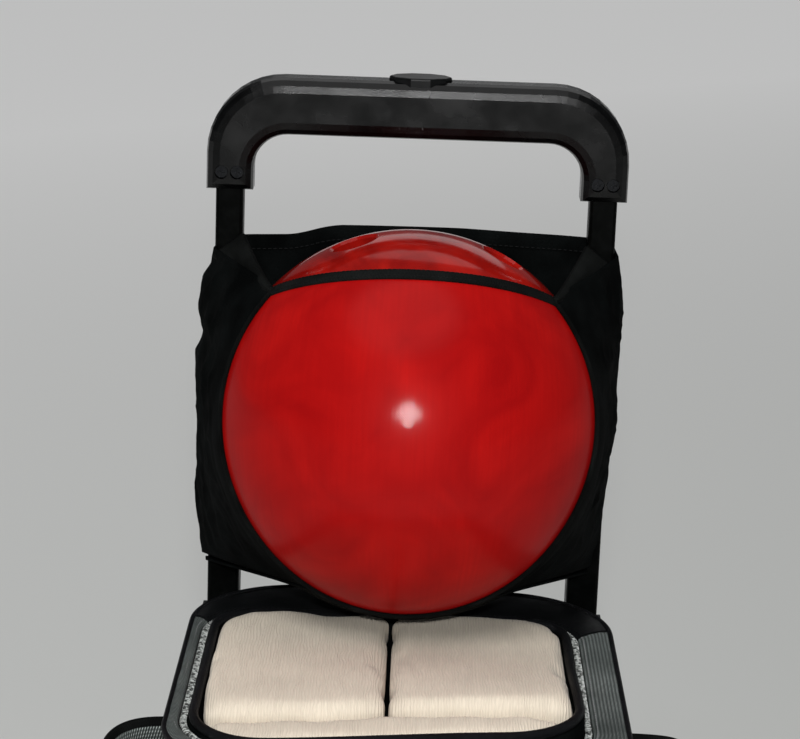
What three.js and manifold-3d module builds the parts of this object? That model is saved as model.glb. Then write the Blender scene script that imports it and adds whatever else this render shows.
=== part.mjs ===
// A wheeled bowling bag: a soft lower bag on two wheels, a two-stage pull handle behind it, and a mesh pouch
// on the handle's tubes that carries a bowling ball over the bag's lid.
// Millimetres, +Z up, front towards -Y, left towards -X. Each assembly is drawn with the ball's centre on
// x = 0, y = 0 and the floor at z = 0, and the whole is then centred on its bounding box.
import * as THREE from "three";
import { mergeVertices } from "three/addons/utils/BufferGeometryUtils.js";
import Module from "manifold-3d";

// ---- Driving dimensions ----
const GAP = 0.3; // between pieces that touch
// A rounded corner of an outline takes twice this many segments.
const STEPS = { plain: 3, seen: 5, small: 1 };

const BALL_R = 108.5;
const BALL_Z = 575; // height of the ball's centre
const POUCH_LEAN = THREE.MathUtils.degToRad(16); // the plane of the pouch's side seams leans back by this

const TUBE_X = 108.5; // tube centres, left and right
const TUBE_Y = 72;
const TUBE = {
  inner: { size: 16, wall: 1.2, bottom: 300, top: 710.5 },
  middle: { size: 19, wall: 1.2, bottom: 200, top: 560 },
  outer: { size: 22.4, wall: 1.4, bottom: 62, top: 425 },
};

const GRIP = { half: 122, top: 758.5, end: 692.5, radius: 44, inner: 20, leg: 27, bar: 33, depth: 30 };
const LINK = { half: 111.5, top: 745, end: 708.5, radius: 33.5, inner: 27.5, leg: 6, bar: 6, depth: 8 };
const LINK_FOOT = 717; // the link is cut off here, clear of the tubes when it is pressed
const GRIP_CAVITY = {
  half: 114.5,
  top: 748,
  end: 709.5,
  radius: 36.5,
  inner: 21,
  leg: 12,
  bar: 15.5,
  depth: 10,
};
const BUTTON = { halfX: 18, halfY: 12.5, top: 761, bottom: 753.5 };
const SPRING = { radius: 4, wire: 0.7, bottom: 729.1, top: 738.6, turns: 3.5 };
const SCREW = { spacing: 9, z: 703.5, headR: 3.5, shankR: 1.5, length: 19 };

const BAG = { x0: -120, x1: 120, y0: -205, y1: 53, front: 45, rear: 62 };
const LID = { x0: -109, x1: 97, y0: -193, y1: 6, front: 42, rear: 30 };
const BAG_WALL = 4;
const TOP_Z = 456; // the lid's plane
const TRAY = { bottom: 38, top: 70, floor: 4 };
const LID_LIP = 6;
const ZIP_SLOT = 5;
const RIM_DEPTH = 7;
const YOKE_Y = -2; // the rear yoke starts here

const WHEEL = { r: 50, hubR: 38, width: 28, x: 142, y: 66 };
const AXLE_R = 5;

// ---- Solids from geometries ----
const wasm = await Module();
wasm.setup();

function solid(geometry) {
  const bare = geometry.clone();
  bare.deleteAttribute("normal");
  bare.deleteAttribute("uv");
  const merged = mergeVertices(bare, 1e-4);
  return new wasm.Manifold(
    new wasm.Mesh({
      numProp: 3,
      vertProperties: new Float32Array(merged.attributes.position.array),
      triVerts: new Uint32Array(merged.index.array),
    }),
  );
}

function fromSolid(made) {
  const mesh = made.getMesh();
  const geometry = new THREE.BufferGeometry();
  geometry.setAttribute("position", new THREE.BufferAttribute(mesh.vertProperties, mesh.numProp));
  geometry.setIndex(new THREE.BufferAttribute(mesh.triVerts, 1));
  geometry.computeVertexNormals();
  return geometry;
}

const cut = (geometry, ...tools) =>
  fromSolid(tools.reduce((left, tool) => left.subtract(solid(tool)), solid(geometry)));
const join = (geometry, ...others) =>
  fromSolid(others.reduce((whole, other) => whole.add(solid(other)), solid(geometry)));
const keep = (geometry, inside) => fromSolid(solid(geometry).intersect(solid(inside)));

// ---- Plain shapes in place ----
function boxAt(x0, x1, y0, y1, z0, z1) {
  const box = new THREE.BoxGeometry(x1 - x0, y1 - y0, z1 - z0);
  return box.translate((x0 + x1) / 2, (y0 + y1) / 2, (z0 + z1) / 2);
}

const rodX = (r, x0, x1, y, z, sides = 24) =>
  new THREE.CylinderGeometry(r, r, x1 - x0, sides).rotateZ(Math.PI / 2).translate((x0 + x1) / 2, y, z);
const rodY = (r, x, y0, y1, z, sides = 16) =>
  new THREE.CylinderGeometry(r, r, y1 - y0, sides).translate(x, (y0 + y1) / 2, z);
const rodZ = (r, x, y, z0, z1, sides = 16) =>
  new THREE.CylinderGeometry(r, r, z1 - z0, sides).rotateX(Math.PI / 2).translate(x, y, (z0 + z1) / 2);

function extrude(shape, depth, bevel = 0, steps = STEPS.plain) {
  return new THREE.ExtrudeGeometry(shape, {
    depth: depth - 2 * bevel,
    curveSegments: steps,
    bevelEnabled: bevel > 0,
    bevelThickness: bevel,
    bevelSize: bevel,
    bevelOffset: -bevel,
    bevelSegments: 3,
  }).translate(0, 0, bevel);
}

const extrudeZ = (shape, z0, z1, bevel, steps) => extrude(shape, z1 - z0, bevel, steps).translate(0, 0, z0);
const extrudeY = (shape, y0, y1, bevel, steps) =>
  extrude(shape, y1 - y0, bevel, steps)
    .rotateX(Math.PI / 2)
    .translate(0, y1, 0);

function extrudeX(shape, x0, x1) {
  const turn = new THREE.Matrix4().makeBasis(
    new THREE.Vector3(0, 1, 0),
    new THREE.Vector3(0, 0, 1),
    new THREE.Vector3(1, 0, 0),
  );
  return extrude(shape, x1 - x0).applyMatrix4(turn).translate(x0, 0, 0);
}

// A rectangle with its corner radii in the order front left, front right, rear right, rear left.
function roundedRect(x0, x1, y0, y1, [frontLeft, frontRight, rearRight, rearLeft]) {
  const shape = new THREE.Shape();
  shape.moveTo(x0 + frontLeft, y0);
  shape.lineTo(x1 - frontRight, y0);
  shape.absarc(x1 - frontRight, y0 + frontRight, frontRight, -Math.PI / 2, 0);
  shape.lineTo(x1, y1 - rearRight);
  shape.absarc(x1 - rearRight, y1 - rearRight, rearRight, 0, Math.PI / 2);
  shape.lineTo(x0 + rearLeft, y1);
  shape.absarc(x0 + rearLeft, y1 - rearLeft, rearLeft, Math.PI / 2, Math.PI);
  shape.lineTo(x0, y0 + frontLeft);
  shape.absarc(x0 + frontLeft, y0 + frontLeft, frontLeft, Math.PI, 1.5 * Math.PI);
  return shape;
}

// The dimensions of a plan outline grown outwards by a distance.
const grown = ({ x0, x1, y0, y1, front, rear }, by) => ({
  x0: x0 - by,
  x1: x1 + by,
  y0: y0 - by,
  y1: y1 + by,
  front: front + by,
  rear: rear + by,
});

// The plan outline of the bag or of its lid, grown outwards by a distance.
function plan(of, grow = 0) {
  const { x0, x1, y0, y1, front, rear } = grown(of, grow);
  return roundedRect(x0, x1, y0, y1, [front, front, rear, rear]);
}

function ring(outer, inner, z0, z1, steps) {
  outer.holes.push(inner);
  return extrudeZ(outer, z0, z1, 0, steps);
}

// A U lying in the XZ plane, open downwards: the grip, and the pieces and the cavity inside it.
function uShape({ half, top, end, radius, inner, leg, bar }) {
  const shape = new THREE.Shape();
  shape.moveTo(-half, end);
  shape.lineTo(-half + leg, end);
  shape.lineTo(-half + leg, top - bar - inner);
  shape.absarc(-half + leg + inner, top - bar - inner, inner, Math.PI, Math.PI / 2, true);
  shape.lineTo(half - leg - inner, top - bar);
  shape.absarc(half - leg - inner, top - bar - inner, inner, Math.PI / 2, 0, true);
  shape.lineTo(half - leg, end);
  shape.lineTo(half, end);
  shape.lineTo(half, top - radius);
  shape.absarc(half - radius, top - radius, radius, 0, Math.PI / 2);
  shape.lineTo(-half + radius, top);
  shape.absarc(-half + radius, top - radius, radius, Math.PI / 2, Math.PI);
  return shape;
}

function uSolid(u, bevel, steps) {
  return extrudeY(uShape(u), TUBE_Y - u.depth / 2, TUBE_Y + u.depth / 2, bevel, steps);
}

// A thin solid about a surface: u and v run from 0 to 1, and the thickness lies along the surface's normal.
function patch(surface, thickness, uSteps, vSteps) {
  const geometry = new THREE.BoxGeometry(1, 1, 1, uSteps, vSteps, 1);
  const place = geometry.attributes.position;
  const step = 1e-3;
  for (let i = 0; i < place.count; i++) {
    const u = place.getX(i) + 0.5;
    const v = place.getY(i) + 0.5;
    const alongU = surface(u + step, v).sub(surface(u - step, v));
    const alongV = surface(u, v + step).sub(surface(u, v - step));
    const normal = alongU.cross(alongV).normalize();
    const point = surface(u, v).addScaledVector(normal, place.getZ(i) * thickness);
    place.setXYZ(i, point.x, point.y, point.z);
  }
  return geometry;
}

// A tube of a round section along a closed or open curve.
function tubeAlong(curve, radius, steps) {
  const section = new THREE.Shape().absarc(0, 0, radius, 0, 2 * Math.PI);
  return new THREE.ExtrudeGeometry(section, { steps, curveSegments: STEPS.plain, extrudePath: curve });
}

// A loop of cord round a plan outline, as a ring of square section.
const cordRing = (outline, half, z) => ring(plan(outline, half), plan(outline, -half), z - half, z + half);

const mix = THREE.MathUtils.lerp;
const point = (x, y, z) => new THREE.Vector3(x, y, z);
const sides = [
  { name: "left", sign: -1 },
  { name: "right", sign: 1 },
];

// ---- Materials ----
const finishes = {
  blackPlastic: [0x111214, 0.55, 0],
  blackPaint: [0x0b0c0d, 0.35, 0.6],
  steel: [0xb9bcc0, 0.3, 1],
  blackScrew: [0x1a1b1d, 0.4, 0.8],
  blackCloth: [0x131416, 0.85, 0],
  redMesh: [0xa80f12, 0.7, 0],
  redBall: [0xb80a0c, 0.12, 0],
  greyCloth: [0x3c4644, 0.8, 0],
  cream: [0xbfae98, 0.8, 0],
  zipper: [0x8d9092, 0.5, 0.2],
  rubber: [0x17181a, 0.8, 0],
  greyPlastic: [0x4a4d50, 0.5, 0],
  foam: [0x2a2b2d, 0.95, 0],
};

function piece(group, name, finish, geometry) {
  const [color, roughness, metalness] = finishes[finish];
  const mesh = new THREE.Mesh(geometry, new THREE.MeshStandardMaterial({ color, roughness, metalness }));
  mesh.name = name;
  group.add(mesh);
  return mesh;
}

// ---- Pull handle ----
function squareTube({ size, wall, bottom, top }, x) {
  const square = (half, r) => roundedRect(x - half, x + half, TUBE_Y - half, TUBE_Y + half, [r, r, r, r]);
  return ring(square(size / 2, 2), square(size / 2 - wall, 1), bottom, top, STEPS.small);
}

const screwPlaces = [-TUBE_X, TUBE_X].flatMap((x) => [x - SCREW.spacing / 2, x + SCREW.spacing / 2]);

function gripShells() {
  const front = TUBE_Y - GRIP.depth / 2;
  const socket = TUBE.inner.size / 2 + 0.4;
  const buttonHole = ovalShape(BUTTON.halfX + 0.6, BUTTON.halfY + 0.6);
  const openings = [
    uSolid(GRIP_CAVITY),
    extrudeZ(buttonHole, BUTTON.bottom - 8, GRIP.top + 5, 0, STEPS.seen),
    rodZ(SPRING.radius + 1.5, 0, TUBE_Y, SPRING.bottom - GAP, LINK.top),
  ];
  for (const { sign } of sides) {
    const x = sign * TUBE_X;
    const top = TUBE.inner.top + GAP;
    openings.push(boxAt(x - socket, x + socket, TUBE_Y - socket, TUBE_Y + socket, GRIP.end - 1, top));
  }
  for (const x of screwPlaces) {
    openings.push(rodY(SCREW.headR + 0.5, x, front - 1, front + 4.6, SCREW.z));
    openings.push(rodY(SCREW.shankR + GAP, x, front, front + SCREW.length + 6, SCREW.z));
  }
  const whole = cut(uSolid(GRIP, 8, STEPS.seen), ...openings);
  const far = 2 * GRIP.top;
  return {
    front: keep(whole, boxAt(-far, far, 0, TUBE_Y - GAP / 2, 0, far)),
    back: keep(whole, boxAt(-far, far, TUBE_Y + GAP / 2, far, 0, far)),
  };
}

function ovalShape(halfX, halfY) {
  return new THREE.Shape().absellipse(0, TUBE_Y, halfX, halfY, 0, 2 * Math.PI);
}

function releaseButton() {
  const cap = extrudeZ(ovalShape(BUTTON.halfX, BUTTON.halfY), BUTTON.bottom, BUTTON.top, 1.2, STEPS.seen);
  const stem = boxAt(-6, 6, TUBE_Y - 3, TUBE_Y + 3, LINK.top + GAP, BUTTON.bottom + 2);
  return join(cap, stem);
}

function gripScrew(x) {
  const head = TUBE_Y - GRIP.depth / 2 + 2;
  const cross = 4.4;
  const slot = 0.9;
  return cut(
    join(
      rodY(SCREW.headR, x, head, head + 2.2, SCREW.z),
      rodY(SCREW.shankR, x, head + 2, head + SCREW.length, SCREW.z),
    ),
    boxAt(x - cross / 2, x + cross / 2, head - 1, head + 1.2, SCREW.z - slot / 2, SCREW.z + slot / 2),
    boxAt(x - slot / 2, x + slot / 2, head - 1, head + 1.2, SCREW.z - cross / 2, SCREW.z + cross / 2),
  );
}

class Helix extends THREE.Curve {
  getPoint(t) {
    const turn = 2 * Math.PI * SPRING.turns * t;
    const z = mix(SPRING.bottom + SPRING.wire, SPRING.top - SPRING.wire, t);
    return point(SPRING.radius * Math.cos(turn), TUBE_Y + SPRING.radius * Math.sin(turn), z);
  }
}

function innerTube(x) {
  const holes = screwPlaces
    .filter((place) => Math.abs(place - x) < TUBE.inner.size)
    .map((place) => rodY(SCREW.shankR + 0.4, place, TUBE_Y - 12, TUBE_Y + 12, SCREW.z));
  return cut(squareTube(TUBE.inner, x), ...holes);
}

function stageCollar(x) {
  const top = TUBE.middle.top;
  const skirt = squareTube({ size: 22.4, wall: 1.3, bottom: top - 15, top: top + 2 }, x);
  const cap = squareTube({ size: 22.4, wall: 2.7, bottom: top + GAP, top: top + 3 }, x);
  return join(skirt, cap);
}

function buildHandle() {
  const handle = new THREE.Group();
  const shells = gripShells();
  piece(handle, "grip_front_shell", "blackPlastic", shells.front);
  piece(handle, "grip_back_shell", "blackPlastic", shells.back);
  piece(handle, "release_button", "blackPlastic", releaseButton());
  const above = boxAt(-GRIP.half, GRIP.half, 0, 2 * TUBE_Y, LINK_FOOT, GRIP.top);
  piece(handle, "release_link", "greyPlastic", keep(uSolid(LINK), above));
  piece(handle, "button_spring", "steel", tubeAlong(new Helix(), SPRING.wire, 30));
  screwPlaces.forEach((x, i) => piece(handle, "grip_screw_" + (i + 1), "blackScrew", gripScrew(x)));
  for (const { name, sign } of sides) {
    const x = sign * TUBE_X;
    piece(handle, "inner_tube_" + name, "blackPaint", innerTube(x));
    piece(handle, "middle_tube_" + name, "blackPaint", squareTube(TUBE.middle, x));
    piece(handle, "outer_tube_" + name, "steel", squareTube(TUBE.outer, x));
    piece(handle, "stage_collar_" + name, "blackPlastic", stageCollar(x));
    piece(handle, "push_rod_" + name, "steel", rodZ(2, x, TUBE_Y, TUBE.inner.bottom + 10, LINK_FOOT - GAP));
  }
  return handle;
}

// ---- Handle mounting ----
const BOARD_Y = [53.8, 58];
const BOARD_HALF = 116;
const BRACKET_HALF = 122;

function topBracket() {
  const { size, top } = TUBE.outer;
  let block = boxAt(-BRACKET_HALF, BRACKET_HALF, BOARD_Y[1] + 0.5, TUBE_Y + 14, top - 15, top + 6);
  for (const { sign } of sides) {
    const x = sign * TUBE_X;
    const socket = size / 2 + GAP;
    const way = TUBE.middle.size / 2 + GAP;
    block = cut(
      block,
      boxAt(x - socket, x + socket, TUBE_Y - socket, TUBE_Y + socket, top - 20, top + GAP),
      boxAt(x - way, x + way, TUBE_Y - way, TUBE_Y + way, top, top + 10),
    );
  }
  return block;
}

function footBracket() {
  const { size, bottom } = TUBE.outer;
  let block = boxAt(-124, 124, BOARD_Y[1] + 0.5, TUBE_Y + 18, 36, bottom + 23);
  for (const { sign } of sides) {
    const x = sign * TUBE_X;
    const socket = size / 2 + GAP;
    const z0 = bottom - GAP;
    block = cut(block, boxAt(x - socket, x + socket, TUBE_Y - socket, TUBE_Y + socket, z0, z0 + 30));
  }
  return cut(block, rodX(AXLE_R + GAP, -130, 130, WHEEL.y, WHEEL.r));
}

// ---- Ball ----
// Centres of the thumb hole and two finger holes, as directions from the ball's centre, with their radii.
const ballHoles = [
  { towards: point(-31, 4, 104), radius: 13 },
  { towards: point(52, 4, 95), radius: 12 },
  { towards: point(45, 33, 93), radius: 12 },
];

function bowlingBall() {
  const depth = 60;
  const mouth = 5; // the drill starts this far outside the ball
  const holes = ballHoles.map(({ towards, radius }) => {
    const way = towards.clone().normalize();
    const turn = new THREE.Quaternion().setFromUnitVectors(point(0, 1, 0), way);
    const centre = way.multiplyScalar(BALL_R + mouth - depth / 2);
    const drill = new THREE.CylinderGeometry(radius, radius, depth + 2 * mouth, 20);
    return drill.applyQuaternion(turn).translate(...centre);
  });
  return cut(new THREE.SphereGeometry(BALL_R, 48, 30), ...holes);
}

// ---- Ball pouch, drawn about the ball's centre ----
const POUCH = { half: 124, bottom: -105, top: 91, backY: 86.5, cloth: 1.6, bulge: 27 };
const MESH = { inner: BALL_R + 1.4, outer: BALL_R + 2.2 };
const SEAM_FORWARD = 12; // the mesh's side seam lies this far before the ball's middle plane
const MOUTH = { away: 66, lean: THREE.MathUtils.degToRad(29) }; // plane of the pouch's mouth
const seamForward = point(0, -Math.cos(POUCH_LEAN), Math.sin(POUCH_LEAN));
const seamUp = point(0, Math.sin(POUCH_LEAN), Math.cos(POUCH_LEAN));
const mouthUp = point(0, Math.sin(MOUTH.lean), Math.cos(MOUTH.lean));
const mouthForward = point(0, -Math.cos(MOUTH.lean), Math.sin(MOUTH.lean));

function backPanel(u, v) {
  const x = mix(-POUCH.half, POUCH.half, u);
  const z = mix(POUCH.bottom, POUCH.top, v);
  const across = Math.max(0, 1 - (x / POUCH.half) ** 2) ** 1.5;
  return point(x, POUCH.backY + POUCH.bulge * (1 - (z / 150) ** 2) * across, z);
}

// A point of the side seam, which runs round the ball. The angle is measured from the right side, upwards.
function seamPoint(degrees) {
  const angle = THREE.MathUtils.degToRad(degrees);
  const radius = Math.sqrt((BALL_R + 2.6) ** 2 - SEAM_FORWARD ** 2);
  return point(radius * Math.cos(angle), 0, 0)
    .addScaledVector(seamUp, radius * Math.sin(angle))
    .addScaledVector(seamForward, SEAM_FORWARD - 0.7);
}

const SEAM_TOP = 39;
const SEAM_BOTTOM = -60;
const WRAP_Y = 60; // the gusset passes outside the tube before it turns in to the seam

function gusset(u, v) {
  const z = mix(POUCH.bottom, POUCH.top - 3, v);
  const rear = point(POUCH.half - 0.6, POUCH.backY - 1.8, z);
  const corner = point(POUCH.half - 0.6, WRAP_Y, z * 0.99);
  const front = seamPoint(mix(SEAM_BOTTOM, SEAM_TOP, v));
  const turn = 0.25;
  return u < turn ? rear.lerp(corner, u / turn) : corner.lerp(front, (u - turn) / (1 - turn));
}

function pouchBottom(u, v) {
  const across = mix(-1, 1, u);
  const edge = POUCH.half - 2.6;
  const z = POUCH.bottom - 2;
  const rear = point(across * edge, POUCH.backY - 1.8, z);
  const corner = point(across * edge, WRAP_Y, z - 0.5);
  const front = seamPoint(mix(-180 - SEAM_BOTTOM + 1.5, SEAM_BOTTOM - 1.5, u));
  const turn = 0.25;
  if (v < turn) return rear.lerp(corner, v / turn);
  const way = (v - turn) / (1 - turn);
  const sag = 9 * Math.sin(Math.PI * way) * (1 - across * across);
  return corner.lerp(front, way).sub(point(0, 0, sag));
}

// The bottom cloth is notched at both rear corners, where the tubes come out of the pouch.
function notchedBottom() {
  const room = TUBE.middle.size / 2 + 0.8;
  const notches = sides.map(({ sign }) => {
    const inner = sign * (TUBE_X - room);
    const outer = sign * (POUCH.half + 5);
    const [x0, x1] = sign > 0 ? [inner, outer] : [outer, inner];
    return boxAt(x0, x1, TUBE_Y - room, TUBE_Y + room, POUCH.bottom - 20, POUCH.bottom + 20);
  });
  return cut(patch(pouchBottom, POUCH.cloth, 10, 8), ...notches);
}

function cornerStrap(u, v) {
  const lower = point(85.5, 4, 73).lerp(point(121, 59.5, 88), u);
  const upper = point(83.5, 6, 79.5).lerp(point(104, 59.5, 95), u);
  return lower.lerp(upper, v);
}

class MouthArc extends THREE.Curve {
  constructor(radius) {
    super();
    this.radius = Math.sqrt(radius ** 2 - MOUTH.away ** 2);
  }
  getPoint(t) {
    const angle = mix(THREE.MathUtils.degToRad(152), THREE.MathUtils.degToRad(28), t);
    return mouthUp
      .clone()
      .multiplyScalar(MOUTH.away)
      .add(point(this.radius * Math.cos(angle), 0, 0))
      .addScaledVector(mouthForward, this.radius * Math.sin(angle));
  }
}

function frontMesh() {
  const sphere = (radius) => new THREE.SphereGeometry(radius, 28, 20);
  const shell = cut(sphere(MESH.outer), sphere(MESH.inner));
  const far = 400;
  const before = new THREE.BoxGeometry(far, far, far).translate(0, 0, far / 2 + SEAM_FORWARD + 1);
  before.applyQuaternion(new THREE.Quaternion().setFromUnitVectors(point(0, 0, 1), seamForward));
  const above = new THREE.BoxGeometry(far, far, far).translate(0, 0, far / 2 + MOUTH.away);
  above.applyQuaternion(new THREE.Quaternion().setFromUnitVectors(point(0, 0, 1), mouthUp));
  return cut(keep(shell, before), above);
}

const onLeft = (surface) => (u, v) => surface(1 - u, v).multiply(point(-1, 1, 1));

// The same geometry on the other side of x = 0, its triangles wound the other way round to stay outside out.
function mirrorX(geometry) {
  const index = geometry.scale(-1, 1, 1).index.array;
  for (let i = 0; i < index.length; i += 3) {
    [index[i], index[i + 2]] = [index[i + 2], index[i]];
  }
  return geometry;
}

function sidedPatch(sign, surface, uSteps, vSteps) {
  const left = patch(onLeft(surface), POUCH.cloth, uSteps, vSteps);
  return sign > 0 ? mirrorX(left) : left;
}

function buildPouch() {
  const pouch = new THREE.Group();
  pouch.position.z = BALL_Z;
  const binding = 2.2;
  const mouth = new MouthArc(MESH.outer + 0.5 + binding);
  piece(pouch, "pouch_back_panel", "blackCloth", patch(backPanel, 2.5, 12, 6));
  piece(pouch, "pouch_front_mesh", "redMesh", frontMesh());
  piece(pouch, "pouch_top_binding", "blackCloth", tubeAlong(mouth, binding, 20));
  piece(pouch, "pouch_bottom", "blackCloth", notchedBottom());
  for (const { name, sign } of sides) {
    piece(pouch, "pouch_gusset_" + name, "blackCloth", sidedPatch(sign, gusset, 4, 8));
    piece(pouch, "pouch_corner_strap_" + name, "blackCloth", sidedPatch(sign, cornerStrap, 4, 1));
  }
  piece(pouch, "bowling_ball", "redBall", bowlingBall());
  return pouch;
}

// ---- Lower bag ----
function bagWalls() {
  const wall = () => ring(plan(BAG), plan(BAG, -BAG_WALL), TRAY.top + GAP, TOP_Z - 1 - RIM_DEPTH - GAP);
  const frontEnd = BAG.y0 + BAG.front;
  const rearEnd = BAG.y1 - BAG.rear;
  const far = 300;
  return {
    front: keep(wall(), boxAt(-far, far, -far, frontEnd, 0, 2 * far)),
    rear: keep(wall(), boxAt(-far, far, rearEnd, far, 0, 2 * far)),
    left: keep(wall(), boxAt(-far, 0, frontEnd + GAP, rearEnd - GAP, 0, 2 * far)),
    right: keep(wall(), boxAt(0, far, frontEnd + GAP, rearEnd - GAP, 0, 2 * far)),
  };
}

// A box whose foot and top are two rectangles given as [x0, x1, y0, y1].
function taperedBox(foot, top, z0, z1) {
  const geometry = new THREE.BoxGeometry(1, 1, 1);
  const place = geometry.attributes.position;
  for (let i = 0; i < place.count; i++) {
    const rise = place.getZ(i) + 0.5;
    const [x0, x1, y0, y1] = foot.map((value, k) => mix(value, top[k], rise));
    place.setXYZ(i, mix(x0, x1, place.getX(i) + 0.5), mix(y0, y1, place.getY(i) + 0.5), mix(z0, z1, rise));
  }
  return geometry;
}

// A pocket open at its top and towards the panel that it is sewn to. Each inset says how far the cavity's
// rectangle lies inside the outer one: negative towards the panel.
function pocket(foot, top, z0, z1, inset) {
  const inner = (rect) => rect.map((value, k) => value + inset[k]);
  return cut(taperedBox(foot, top, z0, z1), taperedBox(inner(foot), inner(top), z0 + 3, z1 + 0.5));
}

function sidePocket(sign) {
  const wall = 3;
  const panel = BAG.x1 + 0.6;
  const lean = (out, y0, y1) => (sign > 0 ? [panel, out, y0, y1] : [-out, -panel, y0, y1]);
  const inset = sign > 0 ? [-2, -wall, wall, -wall] : [wall, 2, wall, -wall];
  return pocket(lean(138, -154, -62), lean(158, -158, -48), 150, 411, inset);
}

function frontPocket() {
  const panel = BAG.y0 - 0.6;
  return pocket([-66, 66, -225, panel], [-72, 72, -236, panel], 95, 330, [3, -3, 3, 2]);
}

const FLOOR_Z = TOP_Z - 16; // the lid's floor, under the cushions
const LID_FLOOR = 4;
const PAD_DEPTH = 31; // of the strip of padding before the two cushions
const LIP_Z = TOP_Z - 3;

function lidPanel() {
  const floor = extrudeZ(plan(LID), FLOOR_Z, FLOOR_Z + LID_FLOOR);
  return join(floor, ring(plan(LID), plan(LID, -LID_LIP), FLOOR_Z, LIP_Z));
}

function buildCushions(bag) {
  const edge = LID_LIP + 0.5;
  const split = (LID.x0 + LID.x1) / 2;
  const z0 = FLOOR_Z + LID_FLOOR + GAP;
  const padY = LID.y0 + edge;
  const cushionY = padY + PAD_DEPTH;
  const rearY = LID.y1 - edge;
  const insideLip = extrudeZ(plan(LID, -edge), z0, TOP_Z + 10);
  const add = (name, x0, x1, y0, y1, z1) => {
    const block = extrudeZ(roundedRect(x0, x1, y0, y1, [6, 6, 6, 6]), z0, z1, 4);
    piece(bag, name, "cream", keep(block, insideLip));
  };
  add("cushion_left", LID.x0 + edge, split - 1.2, cushionY, rearY, TOP_Z + 4);
  add("cushion_right", split + 1.2, LID.x1 - edge, cushionY, rearY, TOP_Z + 4);
  add("front_pad", LID.x0 + edge, LID.x1 - edge, padY, cushionY - 1, TOP_Z);
}

function buildTop(bag) {
  const top = TOP_Z - 1;
  const rim = () => ring(plan(BAG), plan(LID, ZIP_SLOT), top - RIM_DEPTH, top);
  const far = 300;
  piece(bag, "top_rim", "greyCloth", keep(rim(), boxAt(-far, far, -far, YOKE_Y - GAP, 0, 2 * far)));
  piece(bag, "rear_yoke", "blackCloth", keep(rim(), boxAt(-far, far, YOKE_Y, far, 0, 2 * far)));
  piece(bag, "lid_panel", "blackCloth", lidPanel());
  const piping = 2.5;
  const coil = 1.6;
  const onLip = grown(LID, -LID_LIP / 2);
  const inSlot = grown(LID, ZIP_SLOT / 2);
  piece(bag, "lid_piping", "blackCloth", cordRing(onLip, piping, LIP_Z + GAP + piping));
  piece(bag, "zipper_coil", "zipper", cordRing(inSlot, coil, top - coil - 0.2));
  buildCushions(bag);
}

function buildZip(bag) {
  const x = LID.x1 - LID.front - 18;
  const z0 = TOP_Z - 0.6;
  const ramp = boxAt(x - 4, x + 4, LID.y0 - 7, LID.y0, z0, z0 + 2.4);
  const bridge = boxAt(x - 1.5, x + 1.5, LID.y0 - 6, LID.y0 - 1, z0 + 2, z0 + 4);
  piece(bag, "zip_slider", "zipper", join(ramp, bridge));
  const tab = roundedRect(x - 3.5, x + 3.5, LID.y0 - 33, LID.y0 - 8, [3, 3, 1, 1]);
  const hole = roundedRect(x - 1.8, x + 1.8, LID.y0 - 15, LID.y0 - 10.5, [1, 1, 1, 1]);
  tab.holes.push(hole);
  piece(bag, "zip_pull", "zipper", extrudeZ(tab, z0 + 0.2, z0 + 1.7));
}

function foamCup() {
  const section = [
    [48, 0],
    [72, 0],
    [72, 28],
    [66, 28],
    [48, 8],
    [48, 0],
  ].map(([r, h]) => new THREE.Vector2(r, h));
  const z = TRAY.bottom + TRAY.floor + GAP;
  return new THREE.LatheGeometry(section, 28).rotateX(Math.PI / 2).translate(0, -76, z);
}

function buildBag() {
  const bag = new THREE.Group();
  const tray = cut(
    extrudeZ(plan(BAG), TRAY.bottom, TRAY.top),
    extrudeZ(plan(BAG, -BAG_WALL), TRAY.bottom + TRAY.floor, TRAY.top + 1),
  );
  piece(bag, "base_tray", "blackPlastic", tray);
  for (const [name, wall] of Object.entries(bagWalls())) piece(bag, name + "_panel", "greyCloth", wall);
  piece(bag, "foam_cup", "foam", foamCup());
  buildTop(bag);
  buildZip(bag);
  piece(bag, "side_pocket_left", "greyCloth", sidePocket(-1));
  piece(bag, "side_pocket_right", "greyCloth", sidePocket(1));
  piece(bag, "front_pocket", "greyCloth", frontPocket());
  piece(bag, "back_board", "blackPlastic", boxAt(-BOARD_HALF, BOARD_HALF, ...BOARD_Y, 76, 422));
  piece(bag, "handle_top_bracket", "blackPlastic", topBracket());
  piece(bag, "handle_foot_bracket", "blackPlastic", footBracket());
  return bag;
}

// ---- Running gear ----
function turnedX(section, x, segments) {
  const profile = [...section, section[0]].map(([r, h]) => new THREE.Vector2(r, h));
  return new THREE.LatheGeometry(profile, segments).rotateZ(-Math.PI / 2).translate(x, WHEEL.y, WHEEL.r);
}

const mirroredSection = (half) => [...half, ...half.map(([r, h]) => [r, -h]).reverse()];

function wheelTyre(x) {
  const half = WHEEL.width / 2;
  return turnedX(
    mirroredSection([
      [WHEEL.hubR, -half],
      [WHEEL.r - 2, -half],
      [WHEEL.r, -half + 4],
    ]),
    x,
    36,
  );
}

function wheelHub(x) {
  const section = mirroredSection([
    [AXLE_R + 0.4, -13.5],
    [14, -13.5],
    [16, -5],
    [32, -5],
    [34, -11],
    [WHEEL.hubR - GAP, -11],
  ]);
  const windows = [...Array(5).keys()].map((i) => {
    const angle = (i / 5) * 2 * Math.PI;
    return rodX(5.5, x - 8, x + 8, WHEEL.y + 24 * Math.cos(angle), WHEEL.r + 24 * Math.sin(angle), 6);
  });
  return cut(turnedX(section, x, 24), ...windows);
}

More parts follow.
